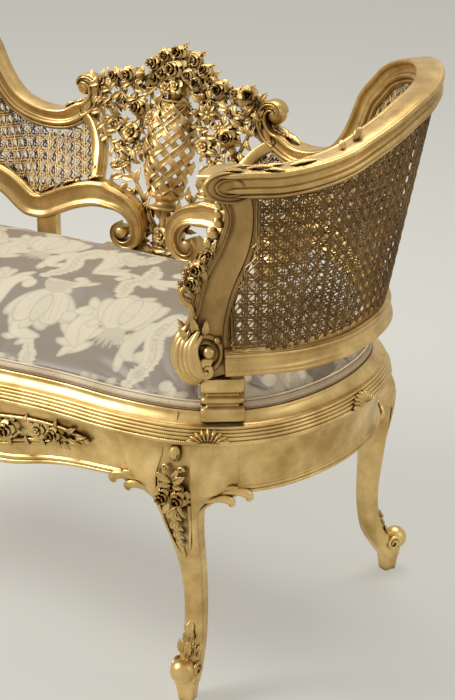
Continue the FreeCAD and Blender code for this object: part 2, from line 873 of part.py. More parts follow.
def make_basket():
    """Openwork basket of crossing straps, rounded in front and open behind."""
    profile_shares = [(0.58, 0), (0.84, 0.18), (1, 0.42), (0.98, 0.62), (0.76, 0.85), (0.46, 1)]
    upward = V(0, 0, 1)

    def turned(inset):
        return flat_skin([
            polygon_points(splat_point(0, basket_base + level * basket_height),
                           share * basket_radius - inset, basket_sides, upward)
            for share, level in profile_shares
        ])

    behind = Part.makeBox(4 * basket_radius, overrun, 2 * basket_height,
                          splat_point(-2 * basket_radius, basket_base - socle_height, basket_back))
    body = turned(0).cut([turned(basket_wall), behind])
    rows = 5
    pitch = basket_height / rows
    hole = (pitch - 1.4 * strap_width) / 2
    cutters = []
    for row in range(1, 2 * rows):
        for column in range(-3, 4):
            if (row + column) % 2 == 0:
                centre = splat_point(column * pitch / 2, basket_base + row * pitch / 2, basket_back)
                corners = polygon_points(centre, hole, 4, V(0, -1, 0))
                cutters.append(flat_face(corners).extrude(V(0, -2 * basket_radius, 0)))
    body = body.cut(cutters)
    rim_radius = basket_radius * profile_shares[-1][0] + strap_width / 2
    top = basket_base + basket_height
    rim = prism(splat_point(0, top - strap_width), splat_point(0, top), rim_radius, basket_sides).cut(behind)
    return largest(body.fuse(rim).removeSplitter())


# Places on the splat as (across, rise, size) in shares of its rise and of a rose
bouquet_shares = [
    (0, 0.945, 1.0), (0, 0.87, 1.0), (0, 0.80, 0.95),
    (0.062, 0.915, 0.9), (0.1, 0.865, 0.85), (0.05, 0.83, 0.9),
    (-0.062, 0.915, 0.9), (-0.1, 0.865, 0.85), (-0.05, 0.83, 0.9),
]
garland_shares = {
    "a": (0.16, 0.865, 0.85), "b": (0.25, 0.84, 0.95), "c": (0.345, 0.825, 0.9), "d": (0.43, 0.81, 0.95),
    "e": (0.21, 0.735, 0.8), "f": (0.31, 0.745, 0.7), "g": (0.33, 0.645, 0.95), "h": (0.175, 0.57, 0.85),
    "i": (0.25, 0.52, 0.7), "j": (0.27, 0.43, 0.7),
}
garland_links = ["ab", "bc", "cd", "be", "cf", "fg", "eh", "gi", "hi", "ij"]
# Leaves as (across, rise, size) shares with the angle that they point
leaf_shares = [
    ((0.30, 0.80, 0.8), 60), ((0.39, 0.745, 0.9), 100), ((0.14, 0.765, 0.8), 30),
    ((0.26, 0.69, 0.9), 140), ((0.38, 0.60, 0.9), 70), ((0.27, 0.585, 0.8), 20),
    ((0.20, 0.47, 0.9), 110), ((0.32, 0.49, 0.8), 80), ((0.30, 0.38, 0.8), 120),
]
stem_shares = [(-0.03, 0.03), (0.04, 0.14), (0.115, 0.25), (0.18, 0.36), (0.27, 0.43)]
stem_leaf_shares = [((0.075, 0.14, 0.8), 20), ((0.07, 0.235, 0.8), 150), ((0.17, 0.285, 0.8), 75)]


def scaled(pair):
    return pair[0] * splat_rise, pair[1] * splat_rise


def make_splat():
    """Shoe, crossing stems, basket on its socle, bouquet and rose garlands."""
    base = splat_origin()
    shoe = Part.makeBox(2 * shoe_half_length, shoe_depth, shoe_height,
                        V(-shoe_half_length, base.y - shoe_depth / 2, seat_height))
    basket = make_basket()
    socle = flat_skin([
        polygon_points(splat_point(0, basket_base - socle_height * drop), radius, basket_sides, V(0, 0, 1))
        for drop, radius in ((1, socle_radius), (0.75, socle_radius), (0.45, 0.8 * socle_radius),
                             (0, 0.62 * basket_radius))
    ])
    bouquet = joined([rose(*scaled(row), row[2]) for row in bouquet_shares]
                     + stem([(0, basket_base + basket_height - stem_half), (0, 0.8 * splat_rise)],
                            2 * stem_half))
    rods = []
    for first, last in garland_links:
        rods += stem([scaled(garland_shares[first]), scaled(garland_shares[last])])
    garland = joined([rose(*scaled(row), row[2]) for row in garland_shares.values()] + rods
                     + [leaf(*scaled(row), angle, row[2]) for row, angle in leaf_shares])
    half_stems = stem([scaled(pair) for pair in stem_shares])
    half_stems += [leaf(*scaled(row), angle, row[2]) for row, angle in stem_leaf_shares]
    knot = stem([(0, 0.12 * splat_rise), (0, basket_base - socle_height)], 1.4 * stem_half)
    stems = joined(half_stems + [mirrored(rod) for rod in half_stems] + knot)
    for shape in (basket, socle, bouquet, garland, stems):
        shape.rotate(base, V(1, 0, 0), -splat_lean)
    rails = [pieces["wing_bottom_rail_right"], pieces["wing_bottom_rail_left"]]
    crest = pieces["wing_top_rail_right"]
    bouquet = largest(bouquet.cut(basket))
    stems = largest(stems.cut([shoe, socle, basket] + rails))
    stile = pieces["wing_stile_right"]
    pieces["splat_shoe"] = shoe.cut(rails)
    pieces["splat_socle"] = largest(socle.cut(basket))
    pieces["splat_basket"] = basket
    pieces["splat_bouquet"] = bouquet
    pieces["splat_stems"] = stems
    skins = [pieces["cane_inner_right"], pieces["cane_outer_right"]]
    add_pair("splat_garland", largest(garland.cut([bouquet, basket, stems, stile, crest, rails[0]] + skins)))


def plan_points(inset, height, share=1.0):
    """Loop round the seat at an inset, drawn in by a share towards its middle."""
    middle = (station(0)[0].y + station(1)[0].y) / 2
    right = [station(mark, -inset)[0] for mark in MARKS]
    loop = right + [V(-point.x, point.y, 0) for point in reversed(right[1:-1])]
    return [V(point.x * share, middle + (point.y - middle) * share, height) for point in loop]


# Crown of the seat above the gimp: shares of the reach inward, of the plan, and of the rise
crown_shares = [(0.08, 1, 0.22), (0.28, 1, 0.45), (0.65, 1, 0.71), (1, 0.92, 0.88), (1, 0.4, 1)]


def crown_loops(inset, base, top):
    """Loops of the crowned seat from its edge beside the gimp up to the middle."""
    reach = crown_reach_share * corner_radius
    shoulder = seat_height + gimp_width
    lean = gimp_lean * (base - seat_height) / gimp_width
    loops = [plan_points(inset + lean, base), plan_points(inset + gimp_lean, shoulder)]
    for inward, share, level in crown_shares:
        height = shoulder + (top - shoulder) * level
        loops.append(plan_points(inset + gimp_lean + reach * inward, height, share))
    return loops


def make_upholstery():
    """Webbing, hessian, stuffing, cover and gimp."""
    inner = moulding_width - webbing_bearing
    deck = flat_face(plan_points(inner, seat_height)).extrude(V(0, 0, 2 * webbing_thickness))
    lowest = station(0)[0].y + inner + webbing_width
    highest = station(1)[0].y - inner - webbing_width / 2
    width = 2 * station(0.5)[0].x
    long_way, cross_way = [], []
    for index in range(int((highest - lowest) // webbing_pitch) + 1):
        corner = V(-width / 2, lowest + index * webbing_pitch, seat_height)
        strap = Part.makeBox(width, webbing_width, webbing_thickness, corner)
        long_way.append(largest(strap.common(deck)))
    side_count = int(station(0.5)[0].x // webbing_pitch) - 1
    for index in range(-side_count, side_count + 1):
        corner = V(index * webbing_pitch - webbing_width / 2, -width, seat_height + webbing_thickness)
        strap = Part.makeBox(webbing_width, width, webbing_thickness, corner)
        cross_way.append(largest(strap.common(deck)))
    pedestals = [pedestal_box(cover_gap), mirrored(pedestal_box(cover_gap))]
    pieces["webbing_side_to_side"] = Part.makeCompound([strap.cut(pedestals) for strap in long_way])
    pieces["webbing_front_to_back"] = Part.makeCompound([strap.cut(pedestals) for strap in cross_way])
    hessian_base = seat_height + 2 * webbing_thickness
    hessian = flat_face(plan_points(inner, hessian_base)).extrude(V(0, 0, hessian_thickness))
    pieces["hessian"] = hessian.cut(pedestals)
    cover_inset = gimp_inset + gimp_thickness + cover_gap
    top = seat_height + crown_rise
    outer = crown_loops(cover_inset, seat_height, top)
    lining = crown_loops(cover_inset + cover_thickness, seat_height, top - cover_thickness)
    pad = crown_loops(cover_inset + cover_thickness + cover_gap, hessian_base + hessian_thickness,
                      top - cover_thickness - cover_gap)
    cover = flat_skin(list(reversed(lining)) + outer)
    pieces["seat_cover"] = largest(cover.cut(pedestals))
    pieces["seat_stuffing"] = largest(flat_skin(pad).cut(pedestals))
    gimp_outline = [
        (-gimp_inset, seat_height), (-gimp_inset - gimp_lean, seat_height + gimp_width),
        (-gimp_inset - gimp_lean - gimp_thickness, seat_height + gimp_width),
        (-gimp_inset - gimp_thickness, seat_height),
    ]
    pieces["gimp_braid"] = full_ring(lambda share: gimp_outline).cut(pedestals)


def house_in_mouldings():
    """Cut the sinkings of pedestals, back blocks and dowels into the mouldings."""
    cutters = [pieces["arm_dowels"]]
    for name in ("arm_pedestal", "back_block"):
        cutters += [pieces[name + "_left"], pieces[name + "_right"]]
    for name in ("moulding_front", "moulding_back", "moulding_end_left", "moulding_end_right"):
        pieces[name] = pieces[name].cut(cutters)


os.makedirs("parts", exist_ok=True)
make_rails(make_legs())
make_mouldings()
make_brackets()
make_corner_blocks()
make_wings()
make_back_blocks()
make_splat()
make_upholstery()
house_in_mouldings()
box = Part.makeCompound(list(pieces.values())).BoundBox
shift = V(0, -(box.YMin + box.YMax) / 2, -box.ZMin)
for name, shape in pieces.items():
    shape.translate(shift)
    shape.exportStep("parts/" + name + ".step")
print("size", round(box.XLength), round(box.YLength), round(box.ZLength), "shift", round(shift.y, 2))
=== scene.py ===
import json
import math
import bpy
import numpy as np
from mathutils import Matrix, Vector


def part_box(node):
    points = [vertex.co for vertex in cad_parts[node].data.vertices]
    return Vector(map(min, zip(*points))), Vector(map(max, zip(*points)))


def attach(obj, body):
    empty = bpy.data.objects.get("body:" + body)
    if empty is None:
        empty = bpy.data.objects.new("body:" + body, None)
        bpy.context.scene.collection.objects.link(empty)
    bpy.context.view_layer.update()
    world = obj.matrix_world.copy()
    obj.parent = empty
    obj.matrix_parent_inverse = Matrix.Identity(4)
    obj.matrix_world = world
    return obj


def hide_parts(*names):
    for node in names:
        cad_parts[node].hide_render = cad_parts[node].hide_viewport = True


# Camera of the photograph, worked out from the chair's feet, seat ring and wings
IMAGE_HEIGHT_PX = 700
FOCAL_PX = 1600
SENSOR_MM = 36.0
CAMERA_PLACE = (1.311, -1.626, 1.166)
CAMERA_PITCH = 22.0
CAMERA_YAW = 33.13

# Seat plan in millimetres: (radius, turn) of the arcs from the front centre to the back centre
SEAT_FRONT = 462.0
OUTLINE_TURNS = [(850, 7), (650, -9), (520, 12), (180, 60), (320, 32), (190, 68)]
SEAT_HEIGHT = 400.0
APRON_TOP = 361.0
RING_STEP = 5.0
MOULDING_BOTTOM = 365.0
APRON_BOTTOM = 297.0
FRONT_DROP = 24.0
GIMP_INSET = 27.0
APRON_OUTER = -10.0
APRON_INNER = -40.0
FRONT_LEG_SHARE = 0.277
REAR_LEG_SHARE = 0.697
FRONT_LEG_FACING = 7.0
LEG_GIRTH = 54.0
PEDESTAL_SHARE = 0.326

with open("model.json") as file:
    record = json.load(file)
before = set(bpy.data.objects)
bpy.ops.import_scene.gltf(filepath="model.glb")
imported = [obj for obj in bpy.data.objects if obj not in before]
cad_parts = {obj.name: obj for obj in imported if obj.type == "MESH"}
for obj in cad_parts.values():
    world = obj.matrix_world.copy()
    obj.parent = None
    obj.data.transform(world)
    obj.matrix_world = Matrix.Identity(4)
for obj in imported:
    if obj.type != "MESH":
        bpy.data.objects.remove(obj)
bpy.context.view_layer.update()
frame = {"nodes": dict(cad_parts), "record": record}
scene = bpy.context.scene
rng = np.random.default_rng(7)
MM = 0.001
SHIFT_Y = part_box("moulding_front")[0].y / MM + SEAT_FRONT


# Shapes: a shape is its points and a list of face arrays

def unit(v):
    """Vectors brought to length one."""
    v = np.asarray(v, float)
    return v / np.maximum(np.linalg.norm(v, axis=-1, keepdims=True), 1e-12)


def vec(*xyz):
    return np.array(xyz, float)


def volume(points, faces):
    """Six times the signed volume, less than nothing when the faces look inward."""
    total = 0.0
    for block in faces:
        base = points[block[:, 0]]
        for k in range(1, block.shape[1] - 1):
            total += np.einsum("ij,ij->", base, np.cross(points[block[:, k]], points[block[:, k + 1]]))
    return total


def closed(P):
    """Closed skin over rows of points, each row a loop, capped at both ends and facing outward."""
    nu, nv = P.shape[:2]
    columns = np.r_[0:nv, 0]
    g = np.arange(nu * nv).reshape(nu, nv)[:, columns]
    quads = np.stack([g[:-1, :-1], g[1:, :-1], g[1:, 1:], g[:-1, 1:]], -1).reshape(-1, 4)
    ends, tris = [], []
    for row, turn in ((0, 1), (nu - 1, -1)):
        first = nu * nv + len(ends) * (nv + 1)
        rim = first + columns
        ends.append(np.vstack([P[row], P[row].mean(0)]))
        tris.append(np.stack([rim[:-1], rim[1:], np.full(nv, first + nv)], -1)[:, ::turn])
    points, faces = np.vstack([P.reshape(-1, 3)] + ends), [quads, np.vstack(tris)]
    if volume(points, faces) < 0:
        faces = [block[:, ::-1] for block in faces]
    return points, faces


def join(shapes):
    """One shape from several."""
    points, faces, count = [], {}, 0
    for p, blocks in shapes:
        points.append(p)
        for block in blocks:
            faces.setdefault(block.shape[1], []).append(block + count)
        count += len(p)
    return np.vstack(points), [np.vstack(faces[k]) for k in sorted(faces)]


def mirror(shape):
    """The same shape on the other side of the chair."""
    points, faces = shape
    return points * vec(-1, 1, 1), [block[:, ::-1] for block in faces]


def moved(shape, origin, x_axis, y_axis, z_axis, size=1.0):
    """A shape drawn round the origin, placed with its own axes and size."""
    points, faces = shape
    axes = np.stack([x_axis, y_axis, z_axis]) * size
    result = points @ axes + origin
    if np.linalg.det(axes) < 0:
        faces = [block[:, ::-1] for block in faces]
    return result, faces


def make(name, shape, material, nodes=()):
    """One Blender object from a shape in the chair's own millimetres."""
    points, faces = shape
    mesh = bpy.data.meshes.new(name)
    metres = (points + vec(0, SHIFT_Y, 0)) * MM
    loops = np.concatenate([block.ravel() for block in faces])
    sizes = np.concatenate([np.full(len(block), block.shape[1]) for block in faces])
    mesh.vertices.add(len(points))
    mesh.vertices.foreach_set("co", metres.astype(np.float32).ravel())
    mesh.loops.add(len(loops))
    mesh.loops.foreach_set("vertex_index", loops.astype(np.int32))
    mesh.polygons.add(len(sizes))
    mesh.polygons.foreach_set("loop_start", (np.cumsum(sizes) - sizes).astype(np.int32))
    mesh.polygons.foreach_set("use_smooth", np.ones(len(sizes), bool))
    mesh.update()
    mesh.validate()
    mesh.materials.append(material)
    obj = bpy.data.objects.new(name, mesh)
    scene.collection.objects.link(obj)
    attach(obj, "root")
    if nodes:
        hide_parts(*nodes)
    return obj


def make_pair(name, shape, material, node=None):
    """A shape on the right and its mirror image on the left."""
    for side, half in (("right", shape), ("left", mirror(shape))):
        make(f"{name}_{side}", half, material, [f"{node}_{side}"] if node else [])


# Outline of the seat

def build_arcs():
    """Arcs of the half outline: first and last length, centre, radius, side and headings."""
    arcs, place, heading, length = [], vec(0, -SEAT_FRONT), 0.0, 0.0
    for radius, turn in OUTLINE_TURNS + [(None, None)]:
        if radius is None:
            turn = 180 - heading
            radius = place[0] / math.sin(math.radians(turn))
        side = 1 if turn > 0 else -1
        h = math.radians(heading)
        centre = place - vec(math.sin(h), -math.cos(h)) * radius * side
        run = radius * math.radians(abs(turn))
        arcs.append((length, length + run, centre, radius, side, heading, heading + turn))
        heading += turn
        length += run
        h = math.radians(heading)
        place = centre + vec(math.sin(h), -math.cos(h)) * radius * side
    return arcs


ARCS = build_arcs()
HALF_LENGTH = ARCS[-1][1]


def station(share, offset=0.0, height=0.0):
    """Points, tangents and outward normals at shares of the half outline; past 0 or 1 is the left half."""
    share = np.atleast_1d(np.asarray(share, float))
    offset = np.broadcast_to(np.asarray(offset, float), share.shape)
    height = np.broadcast_to(np.asarray(height, float), share.shape)
    flip = (share < 0) | (share > 1)
    folded = np.where(share < 0, -share, np.where(share > 1, 2 - share, share))
    length = folded * HALF_LENGTH
    points = np.zeros(share.shape + (3,))
    normals = np.zeros_like(points)
    for number, (start, end, centre, radius, side, first, last) in enumerate(ARCS):
        inside = (length >= start - 1e-9) & ((length < end) | (number == len(ARCS) - 1))
        h = np.radians(first + (last - first) * (length - start) / (end - start))
        n = np.stack([np.sin(h), -np.cos(h)], -1)
        p = centre + n * (radius * side + offset)[:, None]
        points[inside, :2] = p[inside]
        normals[inside, :2] = n[inside]
    sign = np.where(flip, -1.0, 1.0)
    points[:, 0] *= sign
    normals[:, 0] *= sign
    points[:, 2] = height
    tangents = np.stack([-normals[:, 1], normals[:, 0], np.zeros(len(share))], -1)
    return points, tangents, normals


def spot(share, offset=0.0, height=0.0):
    """Point, tangent and outward normal at one share of the outline."""
    return [rows[0] for rows in station(share, offset, height)]


def ring(profile, first, last, step, change=None):
    """Sweep a closed profile of (offset, height) along the outline between two shares."""
    count = max(int(abs(last - first) * HALF_LENGTH / step), 2)
    shares = np.linspace(first, last, count + 1)
    base, _, normals = station(shares)
    profile = np.asarray(profile, float)
    P = base[:, None, :] + normals[:, None, :] * profile[None, :, 0:1]
    P[:, :, 2] = profile[None, :, 1]
    if change is not None:
        P = change(P, shares, normals)
    return closed(P)


def smooth_line(rows, parts=6):
    """Rows joined by a smooth curve with more rows between them."""
    rows = np.asarray(rows, float)
    padded = np.vstack([2 * rows[0] - rows[1], rows, 2 * rows[-1] - rows[-2]])
    a, b, c, d = padded[:-3], padded[1:-2], padded[2:-1], padded[3:]
    result = []
    for part in range(parts):
        t = part / parts
        bend = (a - 2.5 * b + 2 * c - d / 2) * t ** 2
        result.append(b + (c - a) / 2 * t + bend + (1.5 * (b - c) + (d - a) / 2) * t ** 3)
    line = np.stack(result, 1).reshape(-1, rows.shape[1])
    return np.vstack([line, rows[-1]])


def bead(start, end, bulge=0.5, count=1, parts=7):
    """Half-round beads from one point of a profile to another, on its left-hand side."""
    start, end = vec(*start), vec(*end)
    along = (end - start) / count
    side = vec(-along[1], along[0]) * bulge
    points = []
    for k in range(count):
        for t in np.linspace(0, math.pi, parts)[:-1]:
            points.append(start + along * (k + (1 - math.cos(t)) / 2) + side * math.sin(t))
    return points + [end]


def sweep(centres, outs, ups, section, sizes=None, widths=None):
    """Sweep a closed section of (across, up) along frames; sizes scale it at each frame."""
    section = np.asarray(section, float)
    sizes = np.ones(len(centres)) if sizes is None else np.asarray(sizes, float)
    widths = sizes if widths is None else np.asarray(widths, float)
    P = (centres[:, None, :] + outs[:, None, :] * (section[None, :, 0:1] * widths[:, None, None])
         + ups[:, None, :] * (section[None, :, 1:2] * sizes[:, None, None]))
    return closed(P)


def circle(radius=1.0, count=10, squash=1.0):
    a = np.linspace(0, 2 * math.pi, count, endpoint=False)
    return np.stack([radius * np.cos(a), radius * squash * np.sin(a)], -1)


def tube(points, radius, count=8, normal=None, squash=1.0):
    """Round or oval rod along points; radius may be one value or one for each point."""
    points = np.asarray(points, float)
    along = unit(np.gradient(points, axis=0))
    reference = vec(0, -1, 0) if normal is None else np.asarray(normal, float)
    out = unit(np.cross(along, reference))
    up = np.cross(out, along)
    radius = np.broadcast_to(np.asarray(radius, float), (len(points),))
    return sweep(points, out, up, circle(1, count, squash), radius)


def spun(profile, count):
    """Turned form from (radius, height) pairs round the Z axis."""
    profile = np.asarray(profile, float)
    a = np.linspace(0, 2 * math.pi, count, endpoint=False)
    heights = np.broadcast_to(profile[:, None, 1], (len(profile), count))
    return closed(np.stack([profile[:, None, 0] * np.cos(a), profile[:, None, 0] * np.sin(a), heights], -1))


def ball(radius, rows, count):
    """Round ball, with a tiny flat at each end."""
    turns = np.linspace(0.05, math.pi - 0.05, rows)
    return spun([(radius * math.sin(t), -radius * math.cos(t)) for t in turns], count)


# Materials

# How far the occlusion looks for the painted shade in recesses, in metres
RECESS_SHADE_REACH = 0.013

def node_tree(name):
    material = bpy.data.materials.new(name)
    material.use_nodes = True
    nodes = material.node_tree.nodes
    nodes.clear()
    return material, nodes, material.node_tree.links


def put(nodes, kind, **values):
    node = nodes.new(kind)
    for key, value in values.items():
        if key in node.inputs:
            node.inputs[key].default_value = value
        else:
            setattr(node, key, value)
    return node


def put_ramp(nodes, *stops):
    """Colour ramp node with the given stops."""
    ramp = put(nodes, "ShaderNodeValToRGB")
    for element, (position, colour) in zip(ramp.color_ramp.elements, stops):
        element.position = position
        element.color = (*colour, 1)
    return ramp


def gilt(name, light, mid, recess_shade, rough, metallic=0.86):
    """Leaf gilding in patchy tones that vary at random, with painted shade in the recesses, where the
    occlusion node darkens it to brown.
    """
    material, nodes, links = node_tree(name)
    out = put(nodes, "ShaderNodeOutputMaterial")
    shader = put(nodes, "ShaderNodeBsdfPrincipled", Metallic=metallic)
    place = put(nodes, "ShaderNodeTexCoord")
    patches = put(nodes, "ShaderNodeTexNoise", Scale=16.0, Detail=5.0, Roughness=0.6)
    fine = put(nodes, "ShaderNodeTexNoise", Scale=420.0, Detail=3.0, Roughness=0.6)
    links.new(place.outputs["Object"], patches.inputs["Vector"])
    links.new(place.outputs["Object"], fine.inputs["Vector"])
    patch_ramp = put_ramp(nodes, (0.35, mid), (0.68, light))
    links.new(patches.outputs["Fac"], patch_ramp.inputs["Fac"])
    cavity = put(nodes, "ShaderNodeAmbientOcclusion", samples=6, Distance=RECESS_SHADE_REACH)
    ramp = put_ramp(nodes, (0.16, (1, 1, 1)), (0.75, (0, 0, 0)))
    links.new(cavity.outputs["AO"], ramp.inputs["Fac"])
    # Painted shade: occluded recesses are mixed towards the dark recess colour
    recess_shade_mix = put(nodes, "ShaderNodeMix", data_type="RGBA")
    recess_shade_mix.inputs[7].default_value = (*recess_shade, 1)
    links.new(ramp.outputs["Color"], recess_shade_mix.inputs[0])
    links.new(patch_ramp.outputs["Color"], recess_shade_mix.inputs[6])
    links.new(recess_shade_mix.outputs[2], shader.inputs["Base Color"])
    roughness = put(nodes, "ShaderNodeMapRange")
    roughness.inputs["To Min"].default_value = rough
    roughness.inputs["To Max"].default_value = rough + 0.22
    links.new(fine.outputs["Fac"], roughness.inputs["Value"])
    links.new(roughness.outputs["Result"], shader.inputs["Roughness"])
    bump = put(nodes, "ShaderNodeBump", Strength=0.25, Distance=0.0006)
    links.new(fine.outputs["Fac"], bump.inputs["Height"])
    links.new(bump.outputs["Normal"], shader.inputs["Normal"])
    links.new(shader.outputs["BSDF"], out.inputs["Surface"])
    return material


def plain(name, low, high, scale, rough, bump_depth, metallic=0.0, stretch=(1, 1, 1)):
    """Matt material with a stretched noise for grain or weave."""
    material, nodes, links = node_tree(name)
    out = put(nodes, "ShaderNodeOutputMaterial")
    shader = put(nodes, "ShaderNodeBsdfPrincipled", Metallic=metallic, Roughness=rough)
    place = put(nodes, "ShaderNodeTexCoord")
    scaled = put(nodes, "ShaderNodeMapping")
    scaled.inputs["Scale"].default_value = stretch
    grain = put(nodes, "ShaderNodeTexNoise", Scale=scale, Detail=6.0)
    ramp = put_ramp(nodes, (0.3, low), (0.7, high))
    bump = put(nodes, "ShaderNodeBump", Strength=0.5, Distance=bump_depth)
    links.new(place.outputs["Object"], scaled.inputs["Vector"])
    links.new(scaled.outputs["Vector"], grain.inputs["Vector"])
    links.new(grain.outputs["Fac"], ramp.inputs["Fac"])
    links.new(ramp.outputs["Color"], shader.inputs["Base Color"])
    links.new(grain.outputs["Fac"], bump.inputs["Height"])
    links.new(bump.outputs["Normal"], shader.inputs["Normal"])
    links.new(shader.outputs["BSDF"], out.inputs["Surface"])
    return material


def satin(name):
    """Damask: ivory figure on a taupe satin ground, both held in the mesh's shade colours."""
    material, nodes, links = node_tree(name)
    out = put(nodes, "ShaderNodeOutputMaterial")
    shader = put(nodes, "ShaderNodeBsdfPrincipled")
    shader.inputs["Sheen Weight"].default_value = 0.08
    shade = put(nodes, "ShaderNodeAttribute", attribute_name="shade")
    place = put(nodes, "ShaderNodeTexCoord")
    thread = put(nodes, "ShaderNodeTexWave", Scale=700.0, Distortion=1.2)
    links.new(place.outputs["Object"], thread.inputs["Vector"])
    split = put(nodes, "ShaderNodeSeparateColor")
    links.new(shade.outputs["Color"], split.inputs["Color"])
    links.new(shade.outputs["Color"], shader.inputs["Base Color"])
    gloss = put(nodes, "ShaderNodeMapRange")
    gloss.inputs["From Min"].default_value = 0.2
    gloss.inputs["From Max"].default_value = 0.7
    gloss.inputs["To Min"].default_value = 0.36
    gloss.inputs["To Max"].default_value = 0.62
    links.new(split.outputs["Red"], gloss.inputs["Value"])
    links.new(gloss.outputs["Result"], shader.inputs["Roughness"])
    bump = put(nodes, "ShaderNodeBump", Strength=0.15, Distance=0.0003)
    links.new(thread.outputs["Fac"], bump.inputs["Height"])
    links.new(bump.outputs["Normal"], shader.inputs["Normal"])
    links.new(shader.outputs["BSDF"], out.inputs["Surface"])
    return material


# The third colour of each gilt is the painted shade in its recesses
gold = gilt("gilt_wood", (1.0, 0.73, 0.32), (0.53, 0.335, 0.105), (0.042, 0.017, 0.005), 0.24)
# Darker copy of the gilding, painted shade for the wing rails, stiles and their carving, and the carving on
# the arm posts
wing_gold_shaded = gilt("gilt_wing_shaded", (0.86, 0.60, 0.25), (0.45, 0.275, 0.085), (0.036, 0.014, 0.004), 0.24)
# Darker copy of the gilding, painted shade for the arm posts
arm_gold_shaded = gilt("gilt_arm_shaded", (0.66, 0.43, 0.17), (0.34, 0.205, 0.066), (0.030, 0.012, 0.004), 0.28)
carved_gold = gilt("gilt_carving", (0.95, 0.68, 0.30), (0.46, 0.285, 0.09), (0.034, 0.014, 0.004), 0.34)
# Shaded and lit copies of one cane: the outer weave darker, as painted shade on the outer faces, the inner
# weave lighter
cane_dark = gilt("cane_outside_shaded", (0.34, 0.205, 0.078), (0.17, 0.096, 0.033), (0.025, 0.012, 0.005), 0.36)
cane_light = gilt("cane_inside", (0.74, 0.53, 0.25), (0.46, 0.30, 0.12), (0.07, 0.035, 0.012), 0.36)
beech = plain("beech", (0.42, 0.28, 0.15), (0.60, 0.43, 0.26), 40, 0.6, 0.0004, stretch=(1, 1, 8))
jute = plain("jute_webbing", (0.33, 0.25, 0.14), (0.55, 0.44, 0.28), 500, 0.85, 0.0008)
linen = plain("hessian", (0.30, 0.23, 0.14), (0.52, 0.42, 0.28), 700, 0.9, 0.0006)
hair = plain("curled_hair", (0.06, 0.045, 0.03), (0.20, 0.15, 0.10), 300, 0.9, 0.002)
steel = plain("screw_steel", (0.45, 0.45, 0.46), (0.62, 0.62, 0.63), 200, 0.35, 0.0002, 1.0)
# The braid takes the same painted shade in its recesses, without the metal
braid_silk = gilt("braid_silk", (1.0, 0.83, 0.60), (0.76, 0.58, 0.38), (0.17, 0.115, 0.06), 0.6, 0.0)
damask = satin("damask")

CAD_MATERIALS = {
    "gilt_wood": gold, "beech": beech, "cane_light": cane_light, "cane_dark": cane_dark, "damask": damask,
    "gimp": braid_silk, "webbing": jute, "hessian": linen, "hair": hair, "steel": steel,
}
for part in frame["record"]["subparts"]:
    node = frame["nodes"][part["node"]]
    node.data.materials.clear()
    node.data.materials.append(CAD_MATERIALS[part["material_slot"]])


# Seat frame

MOULDING_PROFILE = (
    [(-58, 400), (-27, 400), (-26.6, 400.7), (-23.4, 400.5)]
    + bead((-22.8, 399), (-10.8, 387.4), -0.14)
    + bead((-10.2, 387.4), (-1.7, 372.6), 0.5, 4)
    + [(-6, 370), (-8, 365), (-58, 365)]
)
LOW_REED_PROFILE = bead((-3.6, 372.4), (-5.2, 365.2), 0.62, parts=9) + [(-7.5, 366), (-7.0, 371.6)]
HATCH_PITCH = 2.6
HATCH_DEPTH = 0.35
LOW_REED_STEP = 0.65


def hatched(P, shares, normals):
    """Fine notches cut across a reed."""
    wave = HATCH_DEPTH * np.sin(2 * math.pi * shares * HALF_LENGTH / HATCH_PITCH)
    P[:, :-2] += normals[:, None, :] * wave[:, None, None]
    return P


def moulding(first, last):
    """Reeded moulding over a run of the outline."""
    return join([ring(MOULDING_PROFILE, first, last, RING_STEP),
                 ring(LOW_REED_PROFILE, first, last, LOW_REED_STEP, hatched)])


make("reeded_moulding_front", moulding(-FRONT_LEG_SHARE, FRONT_LEG_SHARE), gold, ["moulding_front"])
make_pair("reeded_moulding_end", moulding(FRONT_LEG_SHARE, REAR_LEG_SHARE), gold, "moulding_end")
make("reeded_moulding_back", moulding(REAR_LEG_SHARE, 2 - REAR_LEG_SHARE), gold, ["moulding_back"])

APRON_PROFILE = (
    [(APRON_INNER, MOULDING_BOTTOM), (APRON_OUTER, MOULDING_BOTTOM)]
    + bead((APRON_OUTER, APRON_TOP), (-15.5, 308), -0.035)
    + bead((-15.0, 307), (-15.0, 297.4), 0.5, 2)
    + [(-18, APRON_BOTTOM), (APRON_INNER, APRON_BOTTOM)]
)
# Lower edge of the front apron: share of the way to the leg, share of the drop
FRONT_EDGE = [(0, 1), (0.16, 0.95), (0.31, 0.8), (0.47, 0.32), (0.62, 0), (0.8, -0.2), (1, -0.25)]
front_edge_line = smooth_line(FRONT_EDGE, 8)
LEG_HALF_SHARE = LEG_GIRTH / 2 / HALF_LENGTH
APRON_GAP = 0.004
front_span, front_span_end = FRONT_LEG_SHARE - LEG_HALF_SHARE, FRONT_LEG_SHARE + LEG_HALF_SHARE
rear_span, rear_span_end = REAR_LEG_SHARE - LEG_HALF_SHARE, REAR_LEG_SHARE + LEG_HALF_SHARE


def front_bottom(shares):
    """Height of the front apron's lower edge."""
    drop = np.interp(np.abs(shares) / front_span, front_edge_line[:, 0], front_edge_line[:, 1])
    return APRON_BOTTOM - FRONT_DROP * drop


def lowered(P, shares, _):
    """Front apron with its lower edge brought down to the drawn line."""
    reach = (APRON_TOP - front_bottom(shares)) / (APRON_TOP - APRON_BOTTOM)
    brought = APRON_TOP - (APRON_TOP - P[:, :, 2]) * reach[:, None]
    P[:, :, 2] = np.where(P[:, :, 2] < APRON_TOP, brought, P[:, :, 2])
    return P


front_half = FRONT_LEG_SHARE - APRON_GAP
front_apron = ring(APRON_PROFILE, -front_half, front_half, RING_STEP, lowered)
make("apron_front", front_apron, gold, ["rail_front"])
make_pair("apron_end", ring(APRON_PROFILE, FRONT_LEG_SHARE + APRON_GAP, rear_span, RING_STEP), gold,
          "rail_end")
make("apron_back", ring(APRON_PROFILE, rear_span_end, 2 - rear_span_end, RING_STEP), gold, ["rail_back"])

# Legs

